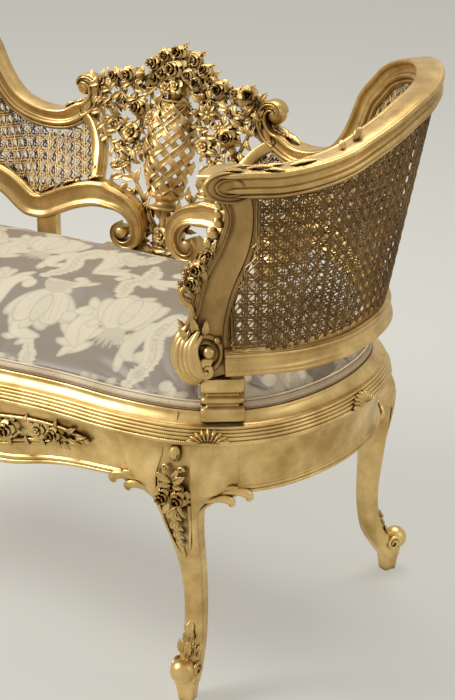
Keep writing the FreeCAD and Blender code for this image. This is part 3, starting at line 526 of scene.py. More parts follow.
# Rows of (height, front, back, half width), in shares of the leg's height and of its girth
FRONT_LEG = [
    (1.0, -0.19, -0.74, 0.49), (0.955, -0.13, -0.80, 0.49), (0.89, 0.04, -0.80, 0.50),
    (0.80, 0.02, -0.76, 0.49), (0.66, -0.26, -0.88, 0.375), (0.52, -0.60, -1.14, 0.28),
    (0.38, -0.78, -1.28, 0.235), (0.27, -0.78, -1.26, 0.235), (0.19, -0.66, -1.16, 0.25),
    (0.12, -0.42, -0.98, 0.27), (0.065, -0.30, -0.82, 0.26),
]
REAR_LEG = [
    (1.0, -0.19, -0.74, 0.49), (0.955, -0.05, -0.80, 0.49), (0.89, 0.45, -0.74, 0.49),
    (0.80, 0.68, -0.40, 0.46), (0.66, 0.66, -0.12, 0.37), (0.52, 0.55, -0.02, 0.29),
    (0.38, 0.45, -0.04, 0.245), (0.27, 0.50, 0.02, 0.24), (0.19, 0.72, 0.16, 0.26),
    (0.12, 0.98, 0.44, 0.28), (0.065, 1.20, 0.70, 0.27),
]


# How far the face is sunk between its raised edges, at shares of the leg's height
SUNK_FACE = [(0.0, -0.10), (0.55, -0.10), (0.68, 0.22), (0.9, 0.22), (0.96, 0.0)]
FOOT_BLOCK = [(37, 11.5), (35, 14.5), (31, 15.0), (27, 13.5), (0, 10)]
FOOT_BALL = dict(radius=16.5, height=46.0, ahead=12.0)
FOOT_VOLUTE = dict(radius=12.5, height=45.0, aside=15.0, turns=1.6)


def leg_section(sunk):
    """Square with soft corners; the front is sunk between raised edges, and grooves run down the sides."""
    a = np.linspace(0, 2 * math.pi, 72, endpoint=False) + 0.03
    power = 2 / 4.0
    x = np.sign(np.cos(a)) * np.abs(np.cos(a)) ** power
    y = np.sign(np.sin(a)) * np.abs(np.sin(a)) ** power
    panel = np.clip(1 - (np.abs(x) / 0.76) ** 8, 0, 1) * (y > 0)
    y = y - sunk * panel
    groove = np.exp(-((y - 0.30) / 0.10) ** 2) + 0.7 * np.exp(-((y + 0.15) / 0.07) ** 2)
    x = x * (1 - 0.16 * groove * (np.abs(x) > 0.8))
    return np.stack([x, y], -1)


def leg_axes(share, heading=None):
    """Centre of a leg on the outline, the way it faces and its side."""
    centre, _, facing = spot(share)
    if heading is not None:
        facing = vec(math.sin(math.radians(heading)), -math.cos(math.radians(heading)), 0)
    return centre, facing, vec(-facing[1], facing[0], 0)


def leg(share, rows, heading=None):
    """Cabriole leg with a tapered block, a ball and two volutes at its foot."""
    centre, facing, side = leg_axes(share, heading)
    line = smooth_line(rows, 7)
    section = np.array([leg_section(depth) for depth in np.interp(line[:, 0], *np.transpose(SUNK_FACE))])
    middle = (line[:, 1] + line[:, 2]) / 2 * LEG_GIRTH
    deep = (line[:, 1] - line[:, 2]) / 2 * LEG_GIRTH
    half = line[:, 3] * LEG_GIRTH
    P = (centre + facing * middle[:, None, None] + side * (section[:, :, 0:1] * half[:, None, None])
         + facing * (section[:, :, 1:2] * deep[:, None, None]))
    P[:, :, 2] = (line[:, 0] * MOULDING_BOTTOM)[:, None]
    foot = centre + facing * middle[-1]
    section = leg_section(0.0)
    block = []
    for height, size in FOOT_BLOCK:
        block.append(foot + side * (section[:, 0:1] * size) + facing * (section[:, 1:2] * size))
        block[-1][:, 2] = height
    ball_centre = foot + facing * FOOT_BALL["ahead"]
    ball_centre[2] = FOOT_BALL["height"]
    shapes = [closed(P), closed(np.array(block)),
              moved(ball(FOOT_BALL["radius"], 12, 20), ball_centre, facing, side, vec(0, 0, 1))]
    for sign in (-1, 1):
        eye = foot + side * (sign * FOOT_VOLUTE["aside"]) + vec(0, 0, FOOT_VOLUTE["height"])
        shapes.append(volute(eye, facing, vec(0, 0, 1), FOOT_VOLUTE["radius"], FOOT_VOLUTE["turns"]))
    return join(shapes)


def volute(centre, x_axis, y_axis, radius, turns, cord=0.22, start=0.0):
    """Raised spiral cord that narrows toward its eye."""
    t = np.linspace(0, 1, 60)
    a = start + t * turns * 2 * math.pi
    r = radius * (1 - 0.86 * t) * (1 - cord / 2)
    points = centre + x_axis * (r * np.cos(a))[:, None] + y_axis * (r * np.sin(a))[:, None]
    normal = np.cross(x_axis, y_axis)
    return tube(points, radius * cord * (1 - 0.5 * t), 8, normal)


make_pair("cabriole_leg_front", leg(FRONT_LEG_SHARE, FRONT_LEG, FRONT_LEG_FACING), gold, "leg_front")
make_pair("cabriole_leg_rear", leg(REAR_LEG_SHARE, REAR_LEG), gold, "leg_rear")

# Arms

PEDESTAL = dict(width=52.0, depth=42.0, top=444.0, front=13.0)
# Pedestal rows: height, and how far the face stands proud
PEDESTAL_ROWS = [
    (392, 0.0), (406, 0.0), (407, -0.6), (407.6, -6.0), (412, -7.0), (413, -6.0), (414, -1.4), (417, 0.0),
    (420, -1.4), (421, -6.0), (423, -7.0), (426, -6.4), (428, -1.0), (429, 0.0), (441, 0.0), (442, -0.8),
    (444, -1.2),
]


def pedestal_frame(inward):
    return spot(PEDESTAL_SHARE, -GIMP_INSET + PEDESTAL["front"] - inward)


def pedestal():
    """Block with a cap, two hollows and a plinth, worked across its front and sides."""
    place, side, normal = pedestal_frame(PEDESTAL["depth"] / 2)
    half = leg_section(0.0)
    box = np.sign(half) * np.abs(half) ** 0.5
    P = []
    for height, proud in PEDESTAL_ROWS:
        row = (place + side * (box[:, 0:1] * (PEDESTAL["width"] / 2 + proud))
               + normal * (-box[:, 1:2] * (PEDESTAL["depth"] / 2 + proud)))
        row[:, 2] = height
        P.append(row)
    return closed(np.array(P))


make_pair("fluted_pedestal", pedestal(), gold, "arm_pedestal")

POST_HEIGHT = 246.0
POST_THICKNESS = 36.0
POST_LEAN = math.radians(6.5)
# Arm post: height, front and back edge along the wing, in shares of its height
POST_ROWS = [
    (0.0, -0.11, 0.05), (0.14, -0.19, 0.047), (0.29, -0.14, 0.045), (0.45, -0.10, 0.09),
    (0.61, -0.02, 0.155), (0.76, 0.02, 0.175), (0.90, -0.03, 0.16), (0.97, -0.02, 0.12),
]


def post_axes():
    place, side, normal = pedestal_frame(PEDESTAL["depth"] / 2)
    origin = place + vec(0, 0, PEDESTAL["top"])
    up = unit(vec(0, 0, 1) * math.cos(POST_LEAN) - normal * math.sin(POST_LEAN))
    out = np.cross(side, up)
    return origin, side, out, up


POST_ORIGIN, POST_SIDE, POST_OUT, POST_UP = post_axes()


def on_post(along, rise, depth=0.0):
    return POST_ORIGIN + POST_SIDE * along + POST_UP * rise + POST_OUT * depth


def post_section():
    """Broad face between two beads on the outer and the inner side."""
    edge = bead((1.0, 0.72), (0.86, 0.94), 0.5) + [(0.84, 0.80)] + bead((0.80, 0.82), (0.62, 0.86), 0.45)
    far_edge = (bead((-0.62, 0.86), (-0.80, 0.82), 0.45) + [(-0.84, 0.80)]
                + bead((-0.86, 0.94), (-1.0, 0.72), 0.5))
    flat = [(0.58, 0.74), (0.3, 0.70), (0, 0.69), (-0.3, 0.70), (-0.58, 0.74)]
    outer = np.array(edge + flat + far_edge)
    return np.vstack([outer, outer[::-1] * vec(1, -1)])


def arm_post():
    """S-scroll post of the right arm."""
    line = smooth_line([(z * POST_HEIGHT, a * POST_HEIGHT, b * POST_HEIGHT) for z, a, b in POST_ROWS], 7)
    section = post_section()
    middle, half = (line[:, 1] + line[:, 2]) / 2, (line[:, 2] - line[:, 1]) / 2
    centres = np.array([on_post(m, z) for m, z in zip(middle, line[:, 0])])
    along = unit(np.gradient(centres, axis=0))
    outs = unit(np.cross(POST_OUT, along)) * -1
    P = (centres[:, None, :] + outs[:, None, :] * (section[None, :, 0:1] * half[:, None, None])
         + POST_OUT * (section[None, :, 1:2] * POST_THICKNESS / 2))
    shaft = closed(P)
    return join([shaft, arm_scroll(), base_scroll()])


# Drum of the post's foot, and the arm's oval end with two raised rings: radius and height, in shares
ROLL_PROFILE = [(0.02, 0.80), (0.30, 0.80), (0.36, 0.70), (0.42, 0.84), (0.56, 0.88), (0.60, 0.72),
                (0.66, 0.74),
                (0.72, 0.92), (0.86, 1.0), (0.97, 0.90), (1.0, 0.74), (1.0, 0.0)]
OVAL_PROFILE = [(0.02, -0.5), (0.96, -0.5), (1.0, -0.46), (1.0, 0.40), (0.99, 0.47), (0.94, 0.51),
                (0.88, 0.50), (0.84, 0.44),
                (0.60, 0.43), (0.56, 0.47), (0.51, 0.50), (0.46, 0.48), (0.42, 0.42), (0.02, 0.42)]
OVAL = dict(half_width=31.0, half_height=18.0, thickness=68.0, depth=14.0, along=0.035, rise=0.915)
FOOT_ROLL = dict(radius=24.0, thickness=34.0, along=-0.085, rise=0.115)


def base_scroll():
    """Short drum across the foot of the post, with a dished, ringed face on each side."""
    radius, half = FOOT_ROLL["radius"], FOOT_ROLL["thickness"] / 2
    profile = ROLL_PROFILE + [(r, -h) for r, h in ROLL_PROFILE[::-1]]
    place = on_post(FOOT_ROLL["along"] * POST_HEIGHT, FOOT_ROLL["rise"] * POST_HEIGHT)
    return moved(spun([(r * radius, h * half) for r, h in profile], 40), place, POST_SIDE, POST_UP,
                 -POST_OUT)


def arm_scroll():
    """Oval end of the arm, with two raised rings round a flat on its outer face."""
    radius = OVAL["half_height"]
    points, faces = spun([(r * radius, h * OVAL["thickness"]) for r, h in OVAL_PROFILE], 56)
    place = on_post(OVAL["along"] * POST_HEIGHT, OVAL["rise"] * POST_HEIGHT, OVAL["depth"])
    return moved((points * vec(OVAL["half_width"] / radius, 1, 1), faces), place, POST_SIDE, POST_UP,
                 POST_OUT)


make_pair("scroll_arm_post", arm_post(), arm_gold_shaded, "arm_post")

# Wings

WING_RISE = 356.0
WING_RAKE = 45.0
LOW_RAIL_INSET = 18.0
# Crest: shares of half length, of the rake, and of the rise over the seat
CREST_ROWS = [
    (0.306, -1.02, 0.800), (0.352, -0.49, 0.820), (0.381, -0.18, 0.826), (0.410, 0.09, 0.843),
    (0.442, 0.20, 0.862), (0.475, 0.27, 0.896), (0.508, 0.33, 0.924), (0.541, 0.42, 0.952),
    (0.574, 0.56, 0.972), (0.606, 0.71, 0.989), (0.639, 0.84, 1.000), (0.668, 0.96, 0.994),
    (0.692, 1.00, 0.972), (0.713, 1.00, 0.935), (0.728, 0.98, 0.879), (0.742, 0.96, 0.815),
    (0.758, 0.96, 0.688), (0.778, 0.98, 0.596), (0.807, 1.02, 0.553), (0.836, 1.07, 0.551),
    (0.858, 1.07, 0.588),
]
# Lower rail: shares of half length, of the rise over the seat, and of the rail's height
LOW_ROWS = [
    (0.328, 0.146, 1), (0.352, 0.146, 1), (0.381, 0.140, 1), (0.410, 0.132, 1), (0.442, 0.126, 1),
    (0.475, 0.121, 1), (0.508, 0.121, 1), (0.541, 0.121, 1), (0.574, 0.121, 1), (0.606, 0.121, 1),
    (0.639, 0.126, 1), (0.668, 0.140, 1.05), (0.692, 0.163, 1.1), (0.713, 0.191, 1.15),
    (0.728, 0.213, 1.2), (0.742, 0.228, 1.25), (0.758, 0.232, 1.25), (0.778, 0.199, 1.3),
    (0.807, 0.124, 1.35), (0.836, 0.115, 1.35), (0.858, 0.142, 1.35), (0.885, 0.180, 1.35),
    (0.909, 0.202, 1.35), (0.926, 0.206, 1.35),
]
STEPS = 6
CURL_PARTS = 60


def curled(start, normal, eye_across, eye_up, turn, ease, close, size):
    """Points and sizes of a closing scroll that goes on from a rail's end."""
    along = np.cross(vec(0, 0, 1), normal)
    eye = start + along * eye_across + vec(0, 0, eye_up)
    offset = start - eye
    t = np.arange(1, CURL_PARTS + 1) / CURL_PARTS
    angle = math.atan2(offset[2], offset @ along) + math.radians(turn) * t
    radius = np.linalg.norm(offset) * close ** (t ** ease)
    level, rise = (radius * np.cos(angle))[:, None], (radius * np.sin(angle))[:, None]
    points = eye + along * level + vec(0, 0, 1) * rise
    return points, size ** (t ** ease), eye


def rail_frames(points, normals):
    """Outward and upward directions across a rail."""
    along = unit(np.gradient(points, axis=0))
    up = unit(np.cross(normals, along))
    return np.cross(along, up), up


def crest_line():
    """Middle of the crest rail with its closing scroll, its normals, sizes and the scroll's eye."""
    rows = smooth_line(CREST_ROWS, STEPS)
    points, _, normals = station(rows[:, 0], rows[:, 1] * WING_RAKE, SEAT_HEIGHT + rows[:, 2] * WING_RISE)
    curl, sizes, eye = curled(points[-1], normals[-1], 9, 24, 260, 1, 0.12, 0.3)
    normals = np.vstack([normals, np.repeat(normals[-1:], len(curl), 0)])
    return np.vstack([points, curl]), normals, np.r_[np.ones(len(points)), sizes], eye


def low_line():
    """Middle of the lower rail with its closing scroll, its normals, sizes and the scroll's eye."""
    rows = smooth_line(LOW_ROWS, STEPS)
    points, _, normals = station(rows[:, 0], -LOW_RAIL_INSET, SEAT_HEIGHT + rows[:, 1] * WING_RISE)
    curl, sizes, eye = curled(points[-1], normals[-1], 30, -34, -360, 0.7, 0.16, 0.24)
    normals = np.vstack([normals, np.repeat(normals[-1:], len(curl), 0)])
    return np.vstack([points, curl]), normals, np.r_[rows[:, 2], sizes * rows[-1, 2]], eye


CREST, CREST_NORMALS, CREST_SIZES, CREST_EYE = crest_line()
LOW, LOW_NORMALS, LOW_SIZES, LOW_EYE = low_line()
CREST_OUTS, CREST_UPS = rail_frames(CREST, CREST_NORMALS)
LOW_OUTS, LOW_UPS = rail_frames(LOW, LOW_NORMALS)
CREST_RAIL, LOW_RAIL = (CREST, CREST_OUTS, CREST_UPS), (LOW, LOW_OUTS, LOW_UPS)


def two_sided(half):
    """A rail section from its right-hand half, listed from the crown down."""
    half = np.array(half, float)
    return np.vstack([half, half[::-1] * vec(-1, 1)])


# Crest rail: flat band, quirk, deep cove, bead and thin bead, as (across, up) in mm
CREST_SECTION = two_sided(
    [(0, 0.2), (8, 0.1), (11.5, -0.6)] + bead((12.5, -0.8), (16.6, -5.6), 0.45) + [(15.8, -6.6)]
    + bead((15.2, -7.0), (12.4, -17.5), -0.22) + bead((13.0, -18.0), (13.6, -25.0), 0.5)
    + [(11.8, -25.8)] + bead((12.0, -26.2), (11.6, -30.4), 0.5) + [(10.6, -32.0)]
)
LOW_SECTION = two_sided(
    [(9.9, 28.0), (10.4, 27.4)] + bead((10.8, 27.0), (12.6, 22.4), 0.5) + [(11.8, 21.6)]
    + bead((12.2, 21.0), (14.2, 7.2), -0.16) + bead((14.6, 6.8), (13.4, 1.0), 0.5) + [(11, 0.0), (0, -0.2)]
)


CREST_BALL = 13.5
BUTTON_RADIUS, BUTTON_HALF = 8.6, 15.5


def make_wings():
    """Crest rails and lower rails with a ball and a button in the eyes of their scrolls."""
    widths = 0.7 + 0.3 * np.minimum(CREST_SIZES, 1)
    top = sweep(CREST, CREST_OUTS, CREST_UPS, CREST_SECTION, CREST_SIZES, widths)
    top = join([top, moved(ball(CREST_BALL, 14, 24), CREST_EYE, vec(1, 0, 0), vec(0, 1, 0), vec(0, 0, 1))])
    low_widths = 0.7 + 0.3 * np.minimum(LOW_SIZES, 1)
    low = sweep(LOW, LOW_OUTS, LOW_UPS, LOW_SECTION, LOW_SIZES, low_widths)
    out = LOW_OUTS[-1]
    button = [(r * BUTTON_RADIUS, h * BUTTON_HALF) for r,
              h in ((0.02, -1), (0.6, -0.99), (1, -0.86), (1, 0.86), (0.6, 0.99), (0.02, 1))]
    along = np.cross(vec(0, 0, 1), out)
    low = join([low, moved(spun(button, 24), LOW_EYE, along, vec(0, 0, 1), out)])
    make_pair("moulded_crest_rail", top, wing_gold_shaded, "wing_top_rail")
    make_pair("moulded_lower_rail", low, wing_gold_shaded, "wing_bottom_rail")


make_wings()


# Caned panels: six-way weave between the wing rails

CANE_PITCH = 16.0
CANE_LAYER = 6.5
CANE_WIDTH = 2.1
CANE_DEPTH = 1.3
# Rows of the lower rail and the rows of the crest that they face, past where they are alike
FAN_LOW = (0, 16, 17, 18, 19, 20, 21, 22)
FAN_CREST = (0, 16, 16.5, 17, 18, 18.5, 19, 20)
LAST_LOW_ROW = 22
# Bend of the inner stile: share of the way across and up
STILE_BEND = [(0, 0), (0.06, 0.2), (0.14, 0.42), (0.28, 0.64), (0.6, 0.86), (1, 1)]


def stile_line():
    place = LAST_LOW_ROW * STEPS
    foot = LOW[place] + LOW_UPS[place] * 14
    head = CREST_EYE - vec(0, 0, 40)
    bend = smooth_line(STILE_BEND, 5)
    return foot + (head - foot) * bend[:, [0, 1, 1]]


STILE = stile_line()


def rows_at(values, rows):
    """Values along a rail at fractional rows of its table."""
    index = np.arange(len(values)) / STEPS
    return np.stack([np.interp(rows, index, values[:, k]) for k in range(values.shape[1])], -1)


LOW_RAIL_HEIGHT = 27.0
CREST_DEPTH = 31.5
PANEL_ROWS = 500
# How far a caned panel runs on past its last row, towards the inner stile
PANEL_REACH = 26.0


def panel_edges():
    """Lower edge, upper edge and outward directions of a caned panel, with the length along its middle."""
    low_rows = np.linspace(0, LAST_LOW_ROW, PANEL_ROWS)
    crest_rows = np.interp(low_rows, FAN_LOW, FAN_CREST)
    low_depth = rows_at(LOW_SIZES[:, None], low_rows) * LOW_RAIL_HEIGHT
    bottom = rows_at(LOW, low_rows) + rows_at(LOW_UPS, low_rows) * low_depth
    top = rows_at(CREST, crest_rows) - rows_at(CREST_UPS, crest_rows) * CREST_DEPTH
    out = unit(rows_at(LOW_OUTS, low_rows))
    onward = unit((bottom[-1] - bottom[-8]) * vec(1, 1, 0)) * PANEL_REACH
    runs = ((bottom, onward), (top, onward), (out, 0))
    bottom, top, out = (np.vstack([row, row[-1] + step]) for row, step in runs)
    middle = (bottom + top) / 2
    length = np.r_[0, np.cumsum(np.linalg.norm(np.diff(middle[:, :2], axis=0), axis=1))]
    return bottom, top, out, length


PANEL_BOTTOM, PANEL_TOP, PANEL_OUT, PANEL_LENGTH = panel_edges()


def on_panel(length, height):
    """Points and outward directions at a length and a height on the panel, and whether they lie on it."""
    shape = np.shape(length)
    flat = np.ravel(length)
    bottom, top, out = (np.stack([np.interp(flat, PANEL_LENGTH, values[:, k]) for k in range(3)], -1)
                        for values in (PANEL_BOTTOM, PANEL_TOP, PANEL_OUT))
    out = unit(out)
    share = (np.ravel(height) - bottom[:, 2]) / (top[:, 2] - bottom[:, 2])
    points = bottom + (top - bottom) * share[:, None]
    from_post = points - POST_ORIGIN
    rise = from_post @ POST_UP
    post_rows = np.array(POST_ROWS)
    back_edge = np.interp(rise / POST_HEIGHT, post_rows[:, 0], post_rows[:, 2]) * POST_HEIGHT
    stile_x = np.interp(points[:, 2], STILE[:, 2], STILE[:, 0])
    behind_post = from_post @ POST_SIDE > back_edge - 4
    inside = (share > 0) & (share < 1) & behind_post & (points[:, 0] > stile_x - 2)
    inside &= (flat >= 0) & (flat <= PANEL_LENGTH[-1])
    return points.reshape(*shape, 3), out.reshape(*shape, 3), inside.reshape(shape)


def strands(length, height, lift, layer):
    """Flat cane strands; rows of the arrays are strands and columns are places along them."""
    points, out, inside = on_panel(length, height)
    along = unit(np.gradient(points, axis=1))
    out = unit(out - along * np.sum(out * along, -1, keepdims=True))
    side = np.cross(out, along)
    centre = points + out * (layer + lift)[..., None]
    half, deep = CANE_WIDTH / 2, CANE_DEPTH / 2
    P = np.stack([centre + side * half, centre + out * deep, centre - side * half, centre - out * deep], 2)
    index = np.arange(P.shape[0] * P.shape[1] * 4).reshape(P.shape[:3])
    quads = []
    for k in range(4):
        before, after = index[..., k], index[..., (k + 1) % 4]
        quads.append(np.stack([before[:, :-1], after[:, :-1], after[:, 1:], before[:, 1:]], -1))
    quads = np.stack(quads, 2)
    keep = inside[:, :-1] & inside[:, 1:]
    quads = quads[keep].reshape(-1, 4)
    used, renumbered = np.unique(quads, return_inverse=True)
    return P.reshape(-1, 3)[used], [renumbered.reshape(-1, 4)]


def caned_panel(layer):
    """Woven cane of the inner or the outer skin."""
    last = PANEL_LENGTH[-1]
    low, high = PANEL_BOTTOM[:, 2].min(), PANEL_TOP[:, 2].max()
    pair = CANE_WIDTH * 0.75
    columns, rows = np.arange(0, last, CANE_PITCH), np.arange(low, high, CANE_PITCH)
    fine_length, fine_height = np.arange(0, last, CANE_PITCH / 2), np.arange(low, high, CANE_PITCH / 2)
    shapes = []
    for number, shift in enumerate((-pair, pair)):
        wave = 0.45 * np.cos(np.arange(len(fine_height)) * math.pi + number * math.pi)
        length = np.repeat((columns + shift)[:, None], len(fine_height), 1)
        shapes.append(strands(length, length * 0 + fine_height, length * 0 + wave, layer))
        wave = -0.45 * np.cos(np.arange(len(fine_length)) * math.pi + number * math.pi)
        height = np.repeat((rows + shift)[:, None], len(fine_length), 1)
        shapes.append(strands(height * 0 + fine_length, height, height * 0 + wave, layer))
    steps = np.arange(0, (high - low) * 2 / CANE_PITCH + 1)
    for lean in (-1, 1):
        starts = np.arange(-(high - low) - CANE_PITCH, last + (high - low), CANE_PITCH)
        height = low + steps * CANE_PITCH / 2 + np.zeros((len(starts), 1))
        length = starts[:, None] + CANE_PITCH / 2 + lean * (steps * CANE_PITCH / 2)[None, :]
        wave = lean * 0.9 * np.cos(steps * math.pi / 2 + starts[:, None] / CANE_PITCH * math.pi)
        shapes.append(strands(length, height, wave, layer))
    return join(shapes)


# The outer weave takes the shaded copy of the cane colour
make_pair("woven_cane_outside", caned_panel(CANE_LAYER), cane_dark, "cane_outer")
make_pair("woven_cane_inside", caned_panel(-CANE_LAYER), cane_light, "cane_inner")


STILE_SIZE = (13.0, 23.0)


def inner_stile():
    """Moulded upright that closes a panel beside the splat."""
    line = smooth_line(STILE, 2)
    along = unit(np.gradient(line, axis=0))
    forward = unit(vec(0, 1, 0) - along * along[:, 1:2])
    across = np.cross(forward, along)
    section = (bead((-0.5, -0.5), (-0.5, -0.1), 0.4) + bead((-0.42, -0.05), (-0.42, 0.05), 0.3)
               + bead((-0.5, 0.1), (-0.5, 0.5), 0.4) + bead((0.5, 0.5), (0.5, 0.1), 0.4)
               + bead((0.42, 0.05), (0.42, -0.05), 0.3) + bead((0.5, -0.1), (0.5, -0.5), 0.4))
    return sweep(line, across, forward, np.array(section) * vec(*STILE_SIZE))


make_pair("inner_stile", inner_stile(), wing_gold_shaded, "wing_stile")


# Carved flowers and leaves, drawn round the origin facing +Z

def petal(reach, width, depth, lean, curl):
    """Cupped petal that stands at a lean and turns over at its edge, drawn along +X from the heart."""
    t = np.linspace(0, 1, 9)
    v = np.linspace(-1, 1, 9)
    half = width / 2 * np.sin(np.clip(0.30 + t * 0.62, 0, 1) * math.pi * 0.72) ** 0.8
    rise = depth * lean * (1 - (1 - t) ** 1.6) - depth * curl * np.clip(t - 0.66, 0, 1) ** 1.4 * 3.2
    wrap = 0.9
    x = reach * t[:, None] * np.cos(v * wrap * 0.75) ** 0.55
    y = half[:, None] * np.sin(v * wrap) / math.sin(wrap)
    z = rise[:, None] + depth * 0.20 * v ** 2 * t[:, None] * (1 - curl)
    top = np.stack([x + 0 * y, y, z], -1)
    low = np.stack([x * 0.96, y * 0.94, z - depth * 0.26 * (1 - 0.5 * t[:, None])], -1)[:, ::-1]
    return closed(np.concatenate([top, low], 1))


def flower(radius, depth, rings, phase=0.0):
    """Carved rose: rings of overlapping petals, each (reach, lean, curl, petals, height), round a bud."""
    shapes = []
    for number, (reach, lean, curl, petals, height) in enumerate(rings):
        shape = petal(radius * reach, radius * reach * 4.6 / petals, depth, lean, curl)
        for k in range(petals):
            a = 2 * math.pi * (k + 0.5 * (number % 2)) / petals + phase
            x, y = vec(math.cos(a), math.sin(a), 0.04 * (k % 2)), vec(-math.sin(a), math.cos(a), 0)
            shapes.append(moved(shape, vec(0, 0, height * depth), x, y, vec(0, 0, 1)))
    heart = [(0.02, 0.60), (0.10, 0.58), (0.17, 0.44), (0.20, 0.1), (0.34, -0.3), (0.40, -0.5),
             (0.02, -0.55)]
    shapes.append(spun([(r * radius, h * depth) for r, h in heart[::-1]], 14))
    return join(shapes)


ROSE_RINGS = [(0.40, 0.75, 0.0, 3, 0.05), (0.68, 0.55, 0.35, 4, -0.05), (1.0, 0.35, 0.5, 5, -0.2)]
FULL_ROSE_RINGS = [(0.36, 0.85, 0.0, 3, 0.05), (0.58, 0.70, 0.25, 4, 0.0), (0.80, 0.50, 0.45, 5, -0.08),
                   (1.02, 0.25, 0.5, 6, -0.25)]
OPEN_RINGS = [(0.5, 0.5, 0.2, 5, 0.0), (1.05, 0.35, 0.3, 6, -0.15)]


DAISY_PETALS = 8


def daisy(radius, depth):
    """Flat flower of separate round petals with a raised heart."""
    shapes = []
    for k in range(DAISY_PETALS):
        a = 2 * math.pi * k / DAISY_PETALS
        x, y = vec(math.cos(a), math.sin(a), 0), vec(-math.sin(a), math.cos(a), 0)
        shapes.append(moved(blade(radius, radius * 0.62, depth * 0.5, 0.25, 0.35), x * radius * 0.12, x, y,
                            vec(0, 0, 1)))
    inner, outer = radius * 0.16, radius * 0.30
    heart = [(0.02, -0.3 * depth), (outer, -0.2 * depth), (outer, depth * 0.3), (inner, depth * 0.5),
             (0.02, depth * 0.55)]
    return join(shapes + [spun(heart, 12)])


def blade(length, width, depth, rise=0.25, cup=0.3, tip=1.0, veins=0, parts=10, bend=0.0):
    """Leaf or petal along +X: a cupped blade with a mid vein, thick enough to be carved."""
    t = np.linspace(0, 1, parts)
    outline = np.sin(math.pi * np.clip(t, 0.02, 0.985) ** (0.75 * tip)) ** 0.8
    if veins:
        outline = outline * (1 + 0.16 * np.cos(t * veins * 2 * math.pi))
    v = np.linspace(-1, 1, 7)
    arch = rise * np.sin(t * math.pi) * depth * 2 + bend * t ** 2 * length
    x = t[:, None] * length + 0 * v
    y = outline[:, None] * v * width / 2
    z = arch[:, None] + cup * depth * (1.4 * np.abs(v) - 0.5 * np.exp(-(v / 0.18) ** 2)) * outline[:, None]
    top = np.stack([x, y, z + depth * 0.25], -1)
    low = np.stack([x, y * 0.9, z - depth * 0.45], -1)[:, ::-1]
    return closed(np.concatenate([top, low], 1))


def bud(radius, length):
    """Closed flower bud along +X, with two folded petals."""
    t = np.linspace(0.02, math.pi - 0.03, 12)
    a = np.linspace(0, 2 * math.pi, 16, endpoint=False)
    r = radius * np.sin(t)[:, None] * (1 + 0.13 * np.cos(a * 3 + t[:, None] * 2.2))
    x = (1 - np.cos(t))[:, None] * length / 2 + 0 * a
    return closed(np.stack([x, r * np.cos(a), r * np.sin(a)], -1))


def spray(stem_points, radius, leaves, leaf_size, normal):
    """Stem with leaves set alternately along it."""
    line = smooth_line(stem_points, 5)
    shapes = [tube(line, np.linspace(radius, radius * 0.6, len(line)), 8, normal)]
    along = unit(np.gradient(line, axis=0))
    for k in range(leaves):
        place = int((k + 0.7) / (leaves + 0.2) * (len(line) - 1))
        side = unit(np.cross(normal, along[place])) * (1 if k % 2 else -1)
        x = unit(along[place] * 0.75 + side * 0.8)
        y = unit(np.cross(normal, x))
        leaf = blade(leaf_size, leaf_size * 0.42, 3.2, 0.35, 0.4, veins=3)
        shapes.append(moved(leaf, line[place] + normal * radius * 0.5, x, y, normal))
    return join(shapes)


# Splat: a basket of flowers with garlands, leaning back from the back moulding

SPLAT_LEAN = math.radians(12.0)
SPLAT_BASE = station(1, -LOW_RAIL_INSET)[0][0] + vec(0, 4, SEAT_HEIGHT)
SPLAT_RISE = 318.0
SPLAT_UP = vec(0, math.sin(SPLAT_LEAN), math.cos(SPLAT_LEAN))
SPLAT_FRONT = vec(0, -math.cos(SPLAT_LEAN), math.sin(SPLAT_LEAN))
SPLAT_ACROSS = vec(1, 0, 0)
BASKET_BASE = 98.0
BASKET_HEIGHT = 138.0
BASKET_RADIUS = 37.0
# Basket: level, and radius as a share of the widest
BASKET_PROFILE = [(0.0, 0.58), (0.10, 0.72), (0.25, 0.90), (0.42, 1.0), (0.58, 0.99), (0.74, 0.88),
                  (0.88, 0.70), (1.0, 0.47)]


def on_splat(across, rise, ahead=0.0):
    """Point on the splat from its base, in mm."""
    return SPLAT_BASE + SPLAT_ACROSS * across + SPLAT_UP * rise + SPLAT_FRONT * ahead


def splat_route(route, sign=1, ahead=0.0):
    """Points on the splat from (across, rise) in shares of its rise, on the side that the sign says."""
    return np.array([on_splat(sign * x * SPLAT_RISE, z * SPLAT_RISE, ahead) for x, z in route])


def set_on_splat(shape, across, rise, ahead=0.0, turn=0.0, size=1.0, face=(0.0, 0.0)):
    """Put a shape that faces +Z on the splat's front, turned in its plane and tipped to one side or up."""
    normal = unit(SPLAT_FRONT + SPLAT_ACROSS * face[0] + SPLAT_UP * face[1])
    x = SPLAT_ACROSS * math.cos(turn) + SPLAT_UP * math.sin(turn)
    x = unit(x - normal * (x @ normal))
    return moved(shape, on_splat(across, rise, ahead), x, np.cross(normal, x), normal, size)


def basket_radius(level):
    """Radius of the basket at levels from base to rim."""
    table = smooth_line(BASKET_PROFILE, 4)
    return np.interp(level, table[:, 0], table[:, 1]) * BASKET_RADIUS


def basket_surface(turn, level, proud=0.0):
    """Points on the basket's swelling side: turn from its front in radians, level from base to rim."""
    radius = basket_radius(level) + proud
    across, ahead = radius * np.sin(turn), radius * np.cos(turn)
    rise = BASKET_BASE + level * BASKET_HEIGHT
    across, rise, ahead = (row[..., None] for row in (across, rise, ahead))
    return SPLAT_BASE + across * SPLAT_ACROSS + rise * SPLAT_UP + ahead * SPLAT_FRONT


STRAPS = 9
STRAP_HALF = 5.2
STRAP_DEPTH = 1.9
STRAP_LIFT = 2.3
STRAP_PARTS = 64
BASKET_SHOWN = math.radians(104)
STRAP_SECTION = [(-1, -0.4), (-1, 0.75), (-0.72, 1.0), (-0.55, 0.55), (0, 0.5), (0.55, 0.55), (0.72, 1.0),
                 (1, 0.75), (1, -0.4)]
